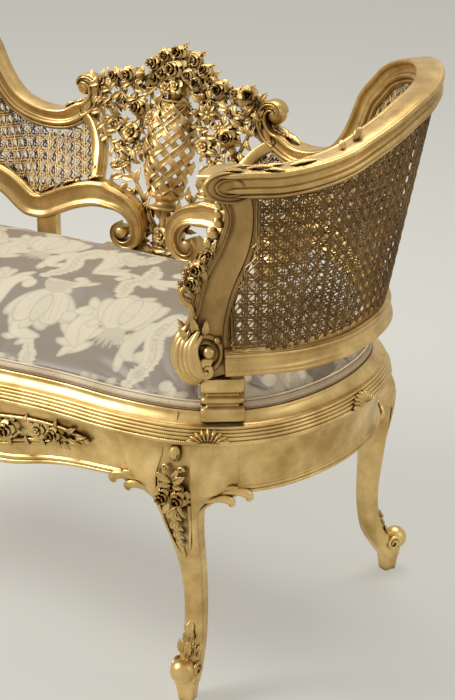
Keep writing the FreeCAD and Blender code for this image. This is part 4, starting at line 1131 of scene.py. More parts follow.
# Rings of the basket: lower and upper level, radius share, and how far each stands proud
BASKET_RINGS = [(-0.015, 0.04, 0.62, 3.0), (0.955, 0.985, 0.50, 3.5), (0.99, 1.02, 0.44, 6.5)]


def unbroken(turn):
    """Runs of places on the shown part of the basket, where a strap's turn doesn't jump."""
    start = None
    for i in range(STRAP_PARTS + 1):
        good = i < STRAP_PARTS and abs(turn[i]) < BASKET_SHOWN
        good = good and (start is None or abs(turn[i] - turn[i - 1]) < 1)
        if good and start is None:
            start = i
        if not good and start is not None:
            if i - start > 2:
                yield start, i
            start = None


def strap(number, lean, level, slant, crossings):
    """Pieces of one strap that winds up the basket, over and under those of the other lean."""
    turn = (number + 0.25) * 2 * math.pi / STRAPS + lean * (slant - slant[-1] / 2)
    turn = (turn + math.pi) % (2 * math.pi) - math.pi
    over = lean * STRAP_LIFT * np.cos(math.pi * (crossings + number))
    centre = basket_surface(turn, level)
    outer = basket_surface(turn, level, 1.0) - centre
    along = unit(np.gradient(basket_surface(np.unwrap(turn), level), axis=0))
    side = unit(np.cross(outer, along))
    P = np.stack([centre + side * (x * STRAP_HALF) + outer * (over[:, None] + z * STRAP_DEPTH) for x,
                  z in STRAP_SECTION], 1)
    return [closed(P[start:end]) for start, end in unbroken(turn)]


def basket():
    """Flat straps woven over and under on the slant, between a foot ring and a rim."""
    level = np.linspace(0, 1, STRAP_PARTS)
    radius = basket_radius(level)
    slant = np.r_[0, np.cumsum(BASKET_HEIGHT / (STRAP_PARTS - 1) / ((radius[1:] + radius[:-1]) / 2))]
    crossings = slant / (2 * math.pi / STRAPS) * 2
    shapes = []
    for lean in (-1, 1):
        for number in range(STRAPS):
            shapes += strap(number, lean, level, slant, crossings)
    for low, high, share, proud in BASKET_RINGS:
        rows = []
        for turn in np.linspace(0, math.pi, 7):
            height = BASKET_BASE + BASKET_HEIGHT * (low + (high - low) * (1 - math.cos(turn)) / 2)
            rows.append((share * BASKET_RADIUS + proud * math.sin(turn), height))
        shape = spun([(2.0, rows[0][1])] + rows + [(2.0, rows[-1][1])], 36)
        shapes.append(moved(shape, SPLAT_BASE, SPLAT_ACROSS, -SPLAT_FRONT, SPLAT_UP))
    return join(shapes)


SOCLE_ROWS = [(2, 78), (24, 78), (25, 80), (24, 82.5), (20, 83.5), (15.5, 87), (14.5, 91), (17, 94),
              (19.5, 95),
              (20.5, 97), (19, 98.5), (2, 98.5)]


def socle():
    """Turned foot of the basket."""
    return moved(spun(SOCLE_ROWS, 36), SPLAT_BASE, SPLAT_ACROSS, -SPLAT_FRONT, SPLAT_UP)


SHOE_HALF = 104.0
SHOE_END = 4.0


def shoe():
    """Moulded shoe that the splat stands on."""
    places = (-SHOE_HALF, SHOE_END - SHOE_HALF, SHOE_HALF - SHOE_END, SHOE_HALF)
    line = np.array([SPLAT_BASE + vec(x, 0, 0) for x in places])
    section = ([(12, 0), (12, 3), (9.5, 4)] + bead((9.5, 4.5), (7.5, 10.5), 0.25)
               + [(7, 12), (-7, 12), (-12, 3), (-12, 0)])
    outs, ups = np.repeat(vec(0, -1, 0)[None], 4, 0), np.repeat(vec(0, 0, 1)[None], 4, 0)
    return sweep(line, outs, ups, section, np.array([0.8, 1, 1, 0.8]))


rose = flower(16, 15, ROSE_RINGS)
full_rose = flower(16, 17, FULL_ROSE_RINGS, 0.4)
open_flower = flower(16, 11, OPEN_RINGS, 0.2)
leaf_shape = blade(28, 12, 4.0, 0.5, 0.5, veins=3)


def rose_bud():
    """Half-open bud in a cup of leaves, leaning forward."""
    shapes = [moved(bud(8, 24), vec(0, 0, -3), vec(0.3, 0.1, 0.95), vec(0, 1, 0), vec(-0.95, 0, 0.3))]
    for a in np.arange(5) * 2 * math.pi / 5:
        x, y = unit(vec(math.cos(a), math.sin(a), 0.5)), vec(-math.sin(a), math.cos(a), 0)
        shapes.append(moved(blade(17, 8, 3, 0.5, 0.5), vec(0, 0, -2), x, y, np.cross(x, y)))
    return join(shapes)


FLOWER_SHAPES = {"full": full_rose, "rose": rose, "open": open_flower, "daisy": daisy(15, 9),
                 "bud": rose_bud()}


# Flowers as (across, rise, ahead, size, kind); across and rise are shares of the splat's rise
BOUQUET_FLOWERS = [
    (0.0, 0.955, 5, 1.0, "full"), (0.006, 0.885, 13, 1.15, "full"), (0.02, 0.815, 15, 0.85, "open"),
    (0.085, 0.940, 4, 0.85, "rose"), (0.145, 0.895, 4, 0.86, "full"), (0.07, 0.865, 11, 0.78, "rose"),
    (0.112, 0.835, 7, 0.86, "full"), (-0.08, 0.938, 4, 0.8, "rose"), (-0.125, 0.900, 4, 0.9, "full"),
    (-0.065, 0.862, 11, 0.8, "rose"), (-0.108, 0.832, 6, 0.84, "rose"), (-0.04, 0.795, 12, 0.7, "daisy"),
]
RIGHT_FLOWERS = [
    (0.18, 0.850, 3, 0.72, "rose"), (0.236, 0.822, 4, 1.05, "full"), (0.312, 0.812, 1, 0.7, "rose"),
    (0.384, 0.812, 4, 1.05, "full"), (0.435, 0.775, 0, 0.7, "rose"), (0.193, 0.716, 8, 0.9, "daisy"),
    (0.150, 0.775, 4, 0.6, "bud"), (0.135, 0.700, 5, 0.62, "bud"), (0.313, 0.622, 8, 1.05, "full"),
    (0.187, 0.562, 7, 0.85, "open"), (0.30, 0.735, 2, 0.62, "rose"), (0.37, 0.715, 0, 0.66, "rose"),
    (0.25, 0.655, 3, 0.6, "daisy"), (0.24, 0.495, 3, 0.6, "bud"), (0.345, 0.54, 1, 0.55, "rose"),
]
LEFT_FLOWERS = [
    (0.272, 0.831, 4, 0.95, "rose"), (0.19, 0.835, 4, 0.78, "bud"), (0.225, 0.790, 2, 0.7, "rose"),
    (0.18, 0.690, 9, 1.0, "full"), (0.35, 0.815, 1, 0.82, "full"), (0.425, 0.785, 0, 0.72, "rose"),
    (0.222, 0.575, 7, 0.95, "open"), (0.105, 0.655, 12, 0.78, "daisy"), (0.16, 0.505, 5, 0.75, "daisy"),
    (0.30, 0.705, 1, 0.68, "rose"), (0.315, 0.60, 1, 0.7, "full"), (0.235, 0.455, 3, 0.6, "bud"),
    (0.27, 0.52, 1, 0.5, "rose"),
]
# Leaves over the rim: across, rise, and angle in degrees
RIM_LEAVES = [(0.05, 0.77, -60), (-0.06, 0.77, 240), (0.10, 0.79, -30), (-0.11, 0.79, 210),
              (0.0, 0.76, -90)]
GARLAND_STEMS = [
    [(0.10, 0.84), (0.25, 0.82), (0.38, 0.80), (0.47, 0.78)],
    [(0.25, 0.83), (0.22, 0.74), (0.18, 0.66), (0.19, 0.56), (0.22, 0.48)],
    [(0.345, 0.82), (0.31, 0.75), (0.34, 0.66), (0.31, 0.58), (0.25, 0.51), (0.27, 0.43), (0.25, 0.36)],
    [(0.43, 0.80), (0.40, 0.72), (0.36, 0.66), (0.32, 0.62)], [(0.31, 0.75), (0.24, 0.70), (0.17, 0.71)],
    [(0.19, 0.56), (0.25, 0.59), (0.32, 0.63)], [(0.43, 0.79), (0.42, 0.70), (0.39, 0.61), (0.35, 0.53),
                                                 (0.29, 0.45)],
    [(0.18, 0.84), (0.14, 0.77), (0.135, 0.68), (0.16, 0.60)],
]


def set_flower(x, z, ahead, size, kind, sign=1):
    """One flower with leaves spread from under it."""
    place = (sign * x * SPLAT_RISE, z * SPLAT_RISE)
    face = (float(rng.uniform(-0.25, 0.25)) + sign * x * 0.8, float(rng.uniform(-0.15, 0.3)))
    shapes = [set_on_splat(FLOWER_SHAPES[kind], *place, ahead, float(rng.uniform(0, 6)), size, face)]
    turn = float(rng.uniform(0, 6))
    for k in range(4):
        angle = turn + k * math.pi / 2 + float(rng.uniform(-0.4, 0.4))
        near = (place[0] + 5 * math.cos(angle), place[1] + 5 * math.sin(angle))
        tip = (0.5 * math.cos(angle), 0.5 * math.sin(angle))
        shapes.append(set_on_splat(leaf_shape, *near, ahead - 4, angle, float(rng.uniform(0.46, 0.62)),
                                   tip))
    return shapes


def bouquet():
    """Roses heaped over the rim, with leaves between them and the neck that carries them."""
    shapes = []
    for row in BOUQUET_FLOWERS:
        shapes += set_flower(*row)
    for x, z, angle in RIM_LEAVES:
        place = (x * SPLAT_RISE, z * SPLAT_RISE)
        shapes.append(set_on_splat(leaf_shape, *place, 8, math.radians(angle), 0.9, (x * 3, -0.3)))
    neck = spun([(2, -40), (15, -40), (17, -20), (13, 0), (16, 20), (2, 26)], 14)
    shapes.append(moved(neck, on_splat(0, 0.86 * SPLAT_RISE, -5), SPLAT_ACROSS, -SPLAT_FRONT, SPLAT_UP))
    return join(shapes)


def garland(flowers, sign):
    """Roses, leaves and buds that hang on crossing stems between the bouquet and the crest."""
    shapes = []
    for row in flowers:
        shapes += set_flower(*row, sign=sign)
    for route in GARLAND_STEMS:
        line = smooth_line(splat_route(route, sign), 6)
        shapes.append(tube(line, 3.2, 8, SPLAT_FRONT, 0.9))
        length = np.r_[0, np.cumsum(np.linalg.norm(np.diff(line, axis=0), axis=1))]
        along = unit(np.gradient(line, axis=0))
        for k, place in enumerate(np.arange(4, length[-1], 9.5)):
            row = int(np.searchsorted(length, place))
            side = np.cross(SPLAT_FRONT, along[row]) * (1 if k % 2 else -1)
            lean, lift = float(rng.uniform(-0.2, 1.0)), float(rng.uniform(0.0, 0.35))
            x = unit(along[row] * lean + side + SPLAT_FRONT * lift)
            normal = unit(SPLAT_FRONT - x * (x @ SPLAT_FRONT))
            size = float(rng.uniform(0.55, 0.85))
            shapes.append(moved(leaf_shape, line[row] + SPLAT_FRONT * 1.5, x, np.cross(normal, x), normal,
                                size))
    return join(shapes)


MAIN_STEM = [(-0.05, 0.035), (0.035, 0.14), (0.115, 0.25), (0.19, 0.36), (0.265, 0.42)]
SIDE_STEM = [(0.02, 0.12), (0.10, 0.15), (0.16, 0.21), (0.20, 0.28)]
STEM_LEAVES = [(0.03, 0.05, 20), (0.06, 0.09, -10), (0.05, 0.17, 70), (0.02, 0.20, 95), (0.08, 0.05, 5),
               (0.10, 0.20, 100)]


def stems():
    """Crossing stems with leaf sprays below the basket."""
    shapes = []
    for sign in (-1, 1):
        shapes.append(spray(splat_route(MAIN_STEM, sign, 2 * sign), 4.2, 12, 25, SPLAT_FRONT))
        shapes.append(spray(splat_route(SIDE_STEM, sign, 1), 3.2, 9, 21, SPLAT_FRONT))
        for x, z, angle in STEM_LEAVES:
            turn = math.radians(angle if sign > 0 else 180 - angle)
            shapes.append(set_on_splat(leaf_shape, sign * x * SPLAT_RISE, z * SPLAT_RISE, 3, turn, 0.95))
    trunk = [on_splat(0, rise) for rise in (0.05 * SPLAT_RISE, 0.18 * SPLAT_RISE, SOCLE_ROWS[0][1])]
    shapes.append(tube(trunk, [5, 6, 10], 10, SPLAT_FRONT))
    shapes.append(set_on_splat(open_flower, 0, 0.125 * SPLAT_RISE, 7, 0.4, 0.8))
    return join(shapes)


make("woven_basket", basket(), carved_gold, ["splat_basket"])
make("basket_socle", socle(), carved_gold, ["splat_socle"])
make("splat_shoe_moulding", shoe(), gold, ["splat_shoe"])
make("rose_bouquet", bouquet(), carved_gold, ["splat_bouquet"])
make("rose_garland_right", garland(RIGHT_FLOWERS, 1), carved_gold, ["splat_garland_right"])
make("rose_garland_left", garland(LEFT_FLOWERS, -1), carved_gold, ["splat_garland_left"])
make("crossing_stems", stems(), carved_gold, ["splat_stems"])


# Upholstery

CROWN_RISE = 66.0
CUSHION_INSET = 31.0
CUSHION_BASE = 405.8
REMESH_SIZE = 0.006
SWELL_CAP = 22.0
SWELL_ROOM = 7.0
CUSHION_POINTS = 260
OUTLINE_COUNT = 1400
POINTS_AT_ONCE = 4000
# Crown of the cushion: inset from the tacked edge in mm, and share of the rise
CROWN_PROFILE = [(0, 0.0), (1.5, 0.20), (9, 0.34), (24, 0.50), (50, 0.68), (85, 0.84), (125, 0.94),
                 (165, 0.985), (200, 1.0)]


def crown_height(inset, rise):
    """Height of the cushion at a distance in from its tacked edge."""
    profile = smooth_line(CROWN_PROFILE, 4)
    return CUSHION_BASE + rise * np.interp(inset, profile[:, 0], profile[:, 1])


def cushion_start(rise):
    """Closed crowned pad inside the gimp, from loops drawn in towards the middle."""
    shares = np.linspace(-1, 1, CUSHION_POINTS, endpoint=False)
    edge = station(shares, -CUSHION_INSET)[0]
    middle = (spot(0)[0][1] + spot(1)[0][1]) / 2
    long_side = np.abs(edge[:, 0]).max() * 0.55
    loops = []
    for level in (CUSHION_BASE, CUSHION_BASE + 4):
        loops.append(edge * vec(1, 1, 0) + vec(0, 0, level))
    target = np.stack([np.clip(edge[:, 0], -long_side, long_side) * 0.9, edge[:, 1] * 0 + middle,
                       edge[:, 2] * 0], -1)
    away = np.linalg.norm((target - edge)[:, :2], axis=1)
    for share in np.linspace(0.0, 0.999, 40)[1:]:
        loop = edge + (target - edge) * share
        loop[:, 2] = crown_height(away * share, rise)
        loops.append(loop)
    return closed(np.array(loops))


def mesh_points(mesh):
    flat = np.empty(len(mesh.vertices) * 3, np.float32)
    mesh.vertices.foreach_get("co", flat)
    return flat.reshape(-1, 3).astype(float)


CLOTH_FRAMES = 20
CLOTH = dict(quality=6, mass=0.3, tension_stiffness=40, compression_stiffness=40, bending_stiffness=2.0,
             use_pressure=True, uniform_pressure_force=4.0, vertex_group_mass="tacked")


def settle(obj, first):
    """Run the cloth and keep its shape, with each point's travel capped."""
    group = obj.vertex_groups.new(name="tacked")
    low = np.nonzero(first[:, 2] / MM < CUSHION_BASE + 3.5)[0]
    group.add([int(i) for i in low], 1.0, "REPLACE")
    cloth = obj.modifiers.new("cloth", "CLOTH")
    for key, value in CLOTH.items():
        setattr(cloth.settings, key, value)
    cloth.settings.effector_weights.gravity = 0
    for number in range(1, CLOTH_FRAMES + 1):
        scene.frame_set(number)
    result = mesh_points(obj.evaluated_get(bpy.context.evaluated_depsgraph_get()).data)
    obj.modifiers.remove(cloth)
    scene.frame_set(1)
    step = result - first
    far = np.linalg.norm(step, axis=1, keepdims=True)
    return first + step * np.minimum(1, SWELL_CAP * MM / np.maximum(far, 1e-9))


def clear_of_pedestals(points):
    """Push points of the cushion out of the pedestals that pass down through its edge."""
    place, side, normal = pedestal_frame(0)
    half, deep = PEDESTAL["width"] / 2 + 0.7, PEDESTAL["depth"] + 0.7
    for sign in (1, -1):
        local = points * vec(sign, 1, 1) - place * vec(1, 1, 0)
        a, b = local @ side, local @ normal
        inside = (np.abs(a) < half) & (b > -deep) & (b < 6)
        inward = inside & (b + deep < half - np.abs(a))
        sideways = inside & ~inward
        moved_in = normal * (-deep - b)[:, None]
        moved_aside = side * (np.sign(a) * half - a)[:, None]
        step = np.where(inward[:, None], moved_in, np.where(sideways[:, None], moved_aside, 0))
        points = points + step * vec(sign, 1, 1)
    return points


def applied(obj):
    """Keep what the object's modifiers make of its mesh."""
    obj.data = bpy.data.meshes.new_from_object(obj.evaluated_get(bpy.context.evaluated_depsgraph_get()))
    obj.modifiers.clear()


def make_cushion():
    """Crowned pad under damask: remeshed, swollen by cloth, made smoother, held in and coloured."""
    rise = CROWN_RISE - (CUSHION_BASE - SEAT_HEIGHT)
    start = cushion_start(rise - SWELL_ROOM)
    pad = make("damask_cushion", start, damask, ["seat_cover", "seat_stuffing"])
    remesh = pad.modifiers.new("remesh", "REMESH")
    remesh.mode = "VOXEL"
    remesh.voxel_size = REMESH_SIZE
    applied(pad)
    first = mesh_points(pad.data)
    pad.data.vertices.foreach_set("co", settle(pad, first).astype(np.float32).ravel())
    pad.vertex_groups.clear()
    finer = pad.modifiers.new("finer", "SUBSURF")
    finer.levels = 2
    applied(pad)
    points = mesh_points(pad.data) / MM - vec(0, SHIFT_Y, 0)
    points[:, 2] = np.clip(points[:, 2], CUSHION_BASE, SEAT_HEIGHT + CROWN_RISE + 1.5)
    points = clear_of_pedestals(held_in(points))
    pad.data.vertices.foreach_set("co", ((points + vec(0, SHIFT_Y, 0)) * MM).astype(np.float32).ravel())
    layer = pad.data.color_attributes.new("shade", "FLOAT_COLOR", "POINT")
    layer.data.foreach_set("color", damask_colours(points).astype(np.float32).ravel())
    pad.data.polygons.foreach_set("use_smooth", np.ones(len(pad.data.polygons), bool))
    pad.data.materials.clear()
    pad.data.materials.append(damask)
    pad.data.update()


OUTLINE_SHARES = np.linspace(-1, 1, OUTLINE_COUNT, endpoint=False)
OUTLINE_POINTS, _, OUTLINE_NORMALS = station(OUTLINE_SHARES)


def inset_of(points):
    """Distance of each point inside the seat's outline, with the outward direction there."""
    inset = np.full(len(points), 1e9)
    nearest = np.zeros(len(points), int)
    for block in np.array_split(np.arange(len(points)), max(len(points) // POINTS_AT_ONCE, 1)):
        gap = np.linalg.norm(points[block, None, :2] - OUTLINE_POINTS[None, ::4, :2], axis=2)
        nearest[block] = gap.argmin(1) * 4
        inset[block] = gap.min(1)
    away = np.sum((OUTLINE_POINTS[nearest, :2] - points[:, :2]) * OUTLINE_NORMALS[nearest, :2], axis=1)
    return np.where(inset < 60, away, inset), OUTLINE_NORMALS[nearest]


def held_in(points):
    """Bring the swollen side back behind the braid."""
    inset, normals = inset_of(points)
    excess = np.clip(CUSHION_INSET - inset, 0, None)
    return points - normals * excess[:, None]


# Damask figure, drawn on the unrolled cushion in millimetres; a motif is its box and what draws it

FIGURE_SCALE = 1.25
TILE_WIDTH = 186.0
TILE_HEIGHT = 232.0
TILE_PLACE = (-93.0, -210.0)
GROUND = (0.25, 0.205, 0.155)
FIGURE = (0.62, 0.55, 0.40)
# Petals of the large flower: (across, up, half width, half length, turn)
PEONY = [
    (-7, 34, 9, 15, 34), (7, 35, 9, 15, -30), (-24, 8, 13, 27, 30), (27, 6, 12, 26, -34),
    (-11, 9, 19, 30, 12), (15, 8, 18, 30, -16), (2, 12, 10, 26, -2),
]
SMALL_BLOOM = [(-12, 4, 8, 15, 35), (12, 4, 8, 15, -35), (-6, 10, 8, 16, 12), (6, 10, 8, 16, -12),
               (0, 4, 7, 14, 0)]


def lay(paint, inside, line=1.0):
    """Lay one shape over the figure, with a thin dark line just inside its edge."""
    cover = np.clip(inside / 1.2 + 0.5, 0, 1)
    tone = 1 - 0.40 * line * np.exp(-((inside - 1.1) / 0.8) ** 2)
    return paint * (1 - cover) + tone * cover


def turned_to(x, y, across, up, turn):
    """Coordinates round a place, turned with a shape."""
    t = math.radians(turn)
    dx, dy = x - across, y - up
    return dx * math.cos(t) + dy * math.sin(t), -dx * math.sin(t) + dy * math.cos(t)


def oval(x, y, across, up, half, length, turn):
    """Distance inside an oval, less than nothing outside it."""
    a, b = turned_to(x, y, across, up, turn)
    return (1 - np.hypot(a / half, b / length)) * half


def veined(paint, x, y, across, up, half, length, turn):
    """Fine lines that run from end to end of an oval petal."""
    a, b = turned_to(x, y, across, up, turn)
    wide = half * np.sqrt(np.clip(1 - (b / length) ** 2, 0.02, 1))
    ratio = a / wide
    near = np.abs((ratio * 2.5 + 0.5) % 1 - 0.5) * wide / 2.5
    inside = (np.abs(ratio) < 0.8) & (np.abs(b) < length * 0.72)
    return paint * (1 - 0.28 * np.exp(-(near / 0.55) ** 2) * inside)


def stroke(x, y, line, widths, comb=0.0, comb_pitch=6.0):
    """Distance inside a stroke of changing width along a line of points, with a combed edge if asked."""
    best = np.full(x.shape, -1e9)
    length = np.r_[0, np.cumsum(np.linalg.norm(np.diff(line, axis=0), axis=1))]
    for k in range(len(line) - 1):
        (ax, ay), (bx, by) = line[k], line[k + 1]
        dx, dy = bx - ax, by - ay
        t = np.clip(((x - ax) * dx + (y - ay) * dy) / (dx * dx + dy * dy), 0, 1)
        width = widths[k] + (widths[k + 1] - widths[k]) * t
        if comb:
            place = length[k] + t * (length[k + 1] - length[k])
            width = width + comb * np.abs(((place / comb_pitch) % 1) * 2 - 1)
        best = np.maximum(best, width - np.hypot(x - ax - t * dx, y - ay - t * dy))
    return best


CURLING_PARTS = 22


def curling(start, heading, length, first, last):
    """Line that leaves at a heading and curls more and more tightly."""
    t = np.linspace(0, 1, CURLING_PARTS)
    turn = np.radians(heading + first * t + last * t ** 3)
    step = np.stack([np.cos(turn), np.sin(turn)], -1) * length / (CURLING_PARTS - 1)
    return np.asarray(start) + np.vstack([[0, 0], np.cumsum(step[:-1], axis=0)])


def flower_motif(place, turn, size, petals, fringe):
    """Flower of veined petals, with a fringe of threads below it if asked."""
    def draw(x, y, paint):
        a, b = (row / size for row in turned_to(x, y, *place, turn))
        if fringe:
            for k in range(-4, 5):
                tip = (k * 4.4 + 1.5 * (k % 2), -45 + 1.4 * abs(k) - 4 * (k % 2))
                line = np.array([(k * 1.7, -16), (k * 3.6, -31), tip])
                paint = lay(paint, stroke(a, b, line, [2.2, 2.3, 0.5]), 1.3)
        for petal_row in petals:
            paint = lay(paint, oval(a, b, *petal_row))
            paint = veined(paint, a, b, *petal_row)
        return paint
    reach = 58 * size if petals is PEONY else 30 * size
    return (place[0] - reach, place[1] - reach, place[0] + reach, place[1] + reach), draw


SCROLL_WIDENING, FEATHER_WIDENING = 1.22, 1.4


def scroll_motif(start, heading, length, first, last, width, lobes, hand):
    """Curling leaf with lobes on the side that the hand says and a round eye."""
    width = width * SCROLL_WIDENING
    line = curling(start, heading, length, first, last)
    t = np.linspace(0, 1, len(line))
    widths = width * (0.25 + 0.75 * np.sin(math.pi * np.clip(t * 1.05, 0, 1)) ** 0.7)
    outer = []
    for k in range(lobes):
        i = int((0.22 + 0.55 * k / max(lobes - 1, 1)) * (len(line) - 1))
        along = line[i + 1] - line[i - 1]
        angle = math.degrees(math.atan2(along[1], along[0])) - 90
        side = vec(along[1], -along[0]) / np.linalg.norm(along) * hand
        outer.append((*(line[i] + side * width * 0.9), width * 0.62, width * 1.45, angle - hand * 38))

    def draw(x, y, paint):
        for row in outer:
            paint = lay(paint, oval(x, y, *row), 0.8)
        paint = lay(paint, stroke(x, y, line, widths), 0.8)
        end = line[-1]
        return lay(paint, oval(x, y, end[0], end[1], width * 0.85, width * 0.85, 0), 0.8)
    low, high = line.min(0) - 3 * width, line.max(0) + 3 * width
    return (*low, *high), draw


def feather_motif(points, width):
    """Ribbon with a combed edge and a lattice of darker threads."""
    line = smooth_line(points, 6)
    width = width * FEATHER_WIDENING
    widths = np.full(len(line), width)
    widths[:2], widths[-3:] = width * 0.5, width * 0.4

    def draw(x, y, paint):
        paint = lay(paint, stroke(x, y, line, widths, 4.4, 6.0), 0.4)
        lattice = np.minimum(np.abs(np.sin(x * 0.95 + y * 0.75)), np.abs(np.sin(x * 0.95 - y * 0.75)))
        core = np.clip(stroke(x, y, line, widths * 0.72), 0, 1)
        return paint * (1 - core * 0.55 * (lattice < 0.30))
    low, high = line.min(0) - 2 * width, line.max(0) + 2 * width
    return (*low, *high), draw


MOTIFS = [
    scroll_motif((20, 0), 70, 95, 30, 190, 8.5, 4, 1), scroll_motif((30, 15), 140, 62, -30, -210, 7, 3, -1),
    scroll_motif((92, 60), 20, 88, 40, -230, 8.5, 4, -1),
    scroll_motif((96, 66), 250, 66, -20, 220, 7.5, 3, 1),
    scroll_motif((150, 20), 100, 82, -20, 220, 8.0, 4, 1),
    scroll_motif((150, 22), 30, 52, 20, -230, 6.5, 3, -1),
    scroll_motif((10, 150), 350, 86, 40, 210, 8.5, 4, 1),
    scroll_motif((96, 150), 110, 74, 10, -220, 8.0, 4, -1),
    scroll_motif((170, 130), 190, 56, -30, -200, 6.5, 3, -1),
    scroll_motif((120, 215), 340, 60, 30, 210, 7.0, 3, 1),
    feather_motif([(110, -10), (118, 20), (104, 52), (112, 84)], 5.0),
    feather_motif([(28, 100), (14, 128), (22, 156), (8, 186)], 5.0),
    feather_motif([(168, 66), (178, 92), (166, 120)], 4.6),
    flower_motif((56, 64), 8, 0.92, PEONY, True), flower_motif((146, 178), 192, 0.92, PEONY, True),
    flower_motif((66, 196), 40, 0.9, SMALL_BLOOM, False),
    flower_motif((158, 74), -30, 0.85, SMALL_BLOOM, False),
]


def damask_colours(points):
    """Colour of each point of the cushion: the figure unrolled over the crown and down its sides."""
    inset, normals = inset_of(points)
    gaps = np.linspace(0, 220, 221)
    heights = crown_height(gaps, CROWN_RISE)
    run = np.r_[0, np.cumsum(np.hypot(np.diff(gaps), np.diff(heights)))]
    inward = inset - CUSHION_INSET
    spare = (run[-1] - gaps[-1]) - (np.interp(inward, gaps, run) - np.clip(inward, 0, gaps[-1]))
    u, v = ((points + normals * spare[:, None]) / FIGURE_SCALE)[:, :2].T
    paint = np.zeros(len(points))
    top = points[:, 2] > CUSHION_BASE + 0.5
    for column in range(-4, 5):
        for row in range(-3, 4):
            ox = column * TILE_WIDTH + TILE_PLACE[0]
            oy = row * TILE_HEIGHT + (column % 2) * TILE_HEIGHT / 2 + TILE_PLACE[1]
            for (x0, y0, x1, y1), draw in MOTIFS:
                near = top & (u > ox + x0) & (u < ox + x1) & (v > oy + y0) & (v < oy + y1)
                if near.any():
                    paint[near] = draw(u[near] - ox, v[near] - oy, paint[near])
    colours = vec(*GROUND) + (vec(*FIGURE) - vec(*GROUND)) * paint[:, None]
    return np.hstack([colours, np.ones((len(colours), 1))])


make_cushion()


# Gimp braid

BRAID_MIDDLE = 406.2
BRAID_PERIOD = 9.0
BRAID_BASE = 400.0
BRAID_LEAN = 0.2
PLAIT_RISE = 3.3
CORD_RADIUS = 1.6
EDGE_CORDS = [(401.8, -1), (410.8, 1)]
EDGE_RADIUS = 1.15
SCALLOP = 3.2
BRAID_TAPE = [(-27.6, 400.3), (-29.8, 411.9), (-30.6, 411.9), (-30.2, 400.3)]


def braid_run(first, last):
    """Backing tape, two corded edges with small scallops and three cords plaited between them."""
    count = int(abs(last - first) * HALF_LENGTH / 0.9)
    shares = np.linspace(first, last, count)
    length = shares * HALF_LENGTH
    shapes = [ring(BRAID_TAPE, first, last, RING_STEP)]
    for k in range(3):
        phase = length * 2 * math.pi / BRAID_PERIOD + k * 2 * math.pi / 3
        height = BRAID_MIDDLE + PLAIT_RISE * np.sin(phase)
        proud = -26.5 - (height - BRAID_BASE) * BRAID_LEAN + 1.3 * np.cos(2 * phase)
        shapes.append(tube(station(shares, proud, height)[0], CORD_RADIUS, 6, vec(0, 0, 1)))
    for height, outward in EDGE_CORDS:
        wave = 0.55 * np.abs(np.sin(length * math.pi / SCALLOP))
        proud = -27.2 - (height - BRAID_BASE) * BRAID_LEAN + wave
        line = station(shares, proud, height + (0.8 - wave) * outward)[0]
        shapes.append(tube(line, EDGE_RADIUS, 5, vec(0, 0, 1)))
    return join(shapes)


GIMP_GAP = (PEDESTAL["width"] / 2 + 1.0) / HALF_LENGTH * 1.05
make("gimp_cords", join([braid_run(-PEDESTAL_SHARE + GIMP_GAP, PEDESTAL_SHARE - GIMP_GAP),
                         braid_run(PEDESTAL_SHARE + GIMP_GAP, 2 - PEDESTAL_SHARE - GIMP_GAP)]),
     braid_silk, ["gimp_braid"])


# Carvings on the frame

BRACKET_REACH = 52.0 / HALF_LENGTH
BRACKET_DROP = 26.0
SKIRT_TOP = 367.0


def placed(shape, place, side, up, across=0.0, rise=0.0, ahead=0.0, turn=0.0, size=1.0, tip=0.0):
    """Set a shape that faces +Z on a surface; turn is in degrees and tip lifts the shape's +X end."""
    normal = np.cross(side, up)
    a = math.radians(turn)
    x = side * math.cos(a) + up * math.sin(a)
    y = np.cross(normal, x)
    x = unit(x + normal * tip)
    return moved(shape, place + side * across + up * rise + normal * ahead, x, y, np.cross(x, y), size)


def leg_face(share, rows, height, heading=None):
    """Point on the front of a leg, with its side and its direction upward along the face."""
    centre, facing, side = leg_axes(share, heading)
    line = smooth_line(rows, 7)[::-1]
    front = np.interp(height, line[:, 0], line[:, 1]) * LEG_GIRTH
    change = np.interp([height + 0.015, height - 0.015], line[:, 0], line[:, 1])
    slope = (change[0] - change[1]) * LEG_GIRTH / (0.03 * MOULDING_BOTTOM)
    up = unit(vec(0, 0, 1) + facing * slope)
    return centre + facing * front + vec(0, 0, height * MOULDING_BOTTOM), side, up


acanthus = blade(30, 13, 4, 0.30, 0.4, veins=4, parts=14, bend=0.10)
flat_leaf = blade(30, 12, 2.0, 0.2, 0.5, veins=4, parts=14)
plume_line = smooth_line([(-6, 0), (4, 2.2), (13, 3), (20, 1.5), (24, -1.5), (23.5, -4.2), (21, -4.4)], 5)
plume = tube(np.c_[plume_line, 1.5 * np.sin(np.linspace(0, 3, len(plume_line)))],
             1.2 + 3.6 * np.sin(np.linspace(0.15, 2.75, len(plume_line))), 9, vec(0, 0, 1), 0.7)
slim_leaf = blade(22, 8.5, 3.4, 0.35, 0.4, veins=3, parts=12)
husk_leaf = blade(20, 9.5, 3.6, 0.45, 0.45, parts=10, bend=0.12)
shell_lobe = blade(17, 7.4, 4.6, 0.35, -0.55, 2.1, parts=12)
small_ball = ball(4.4, 9, 14)
knob = ball(6.4, 10, 16)


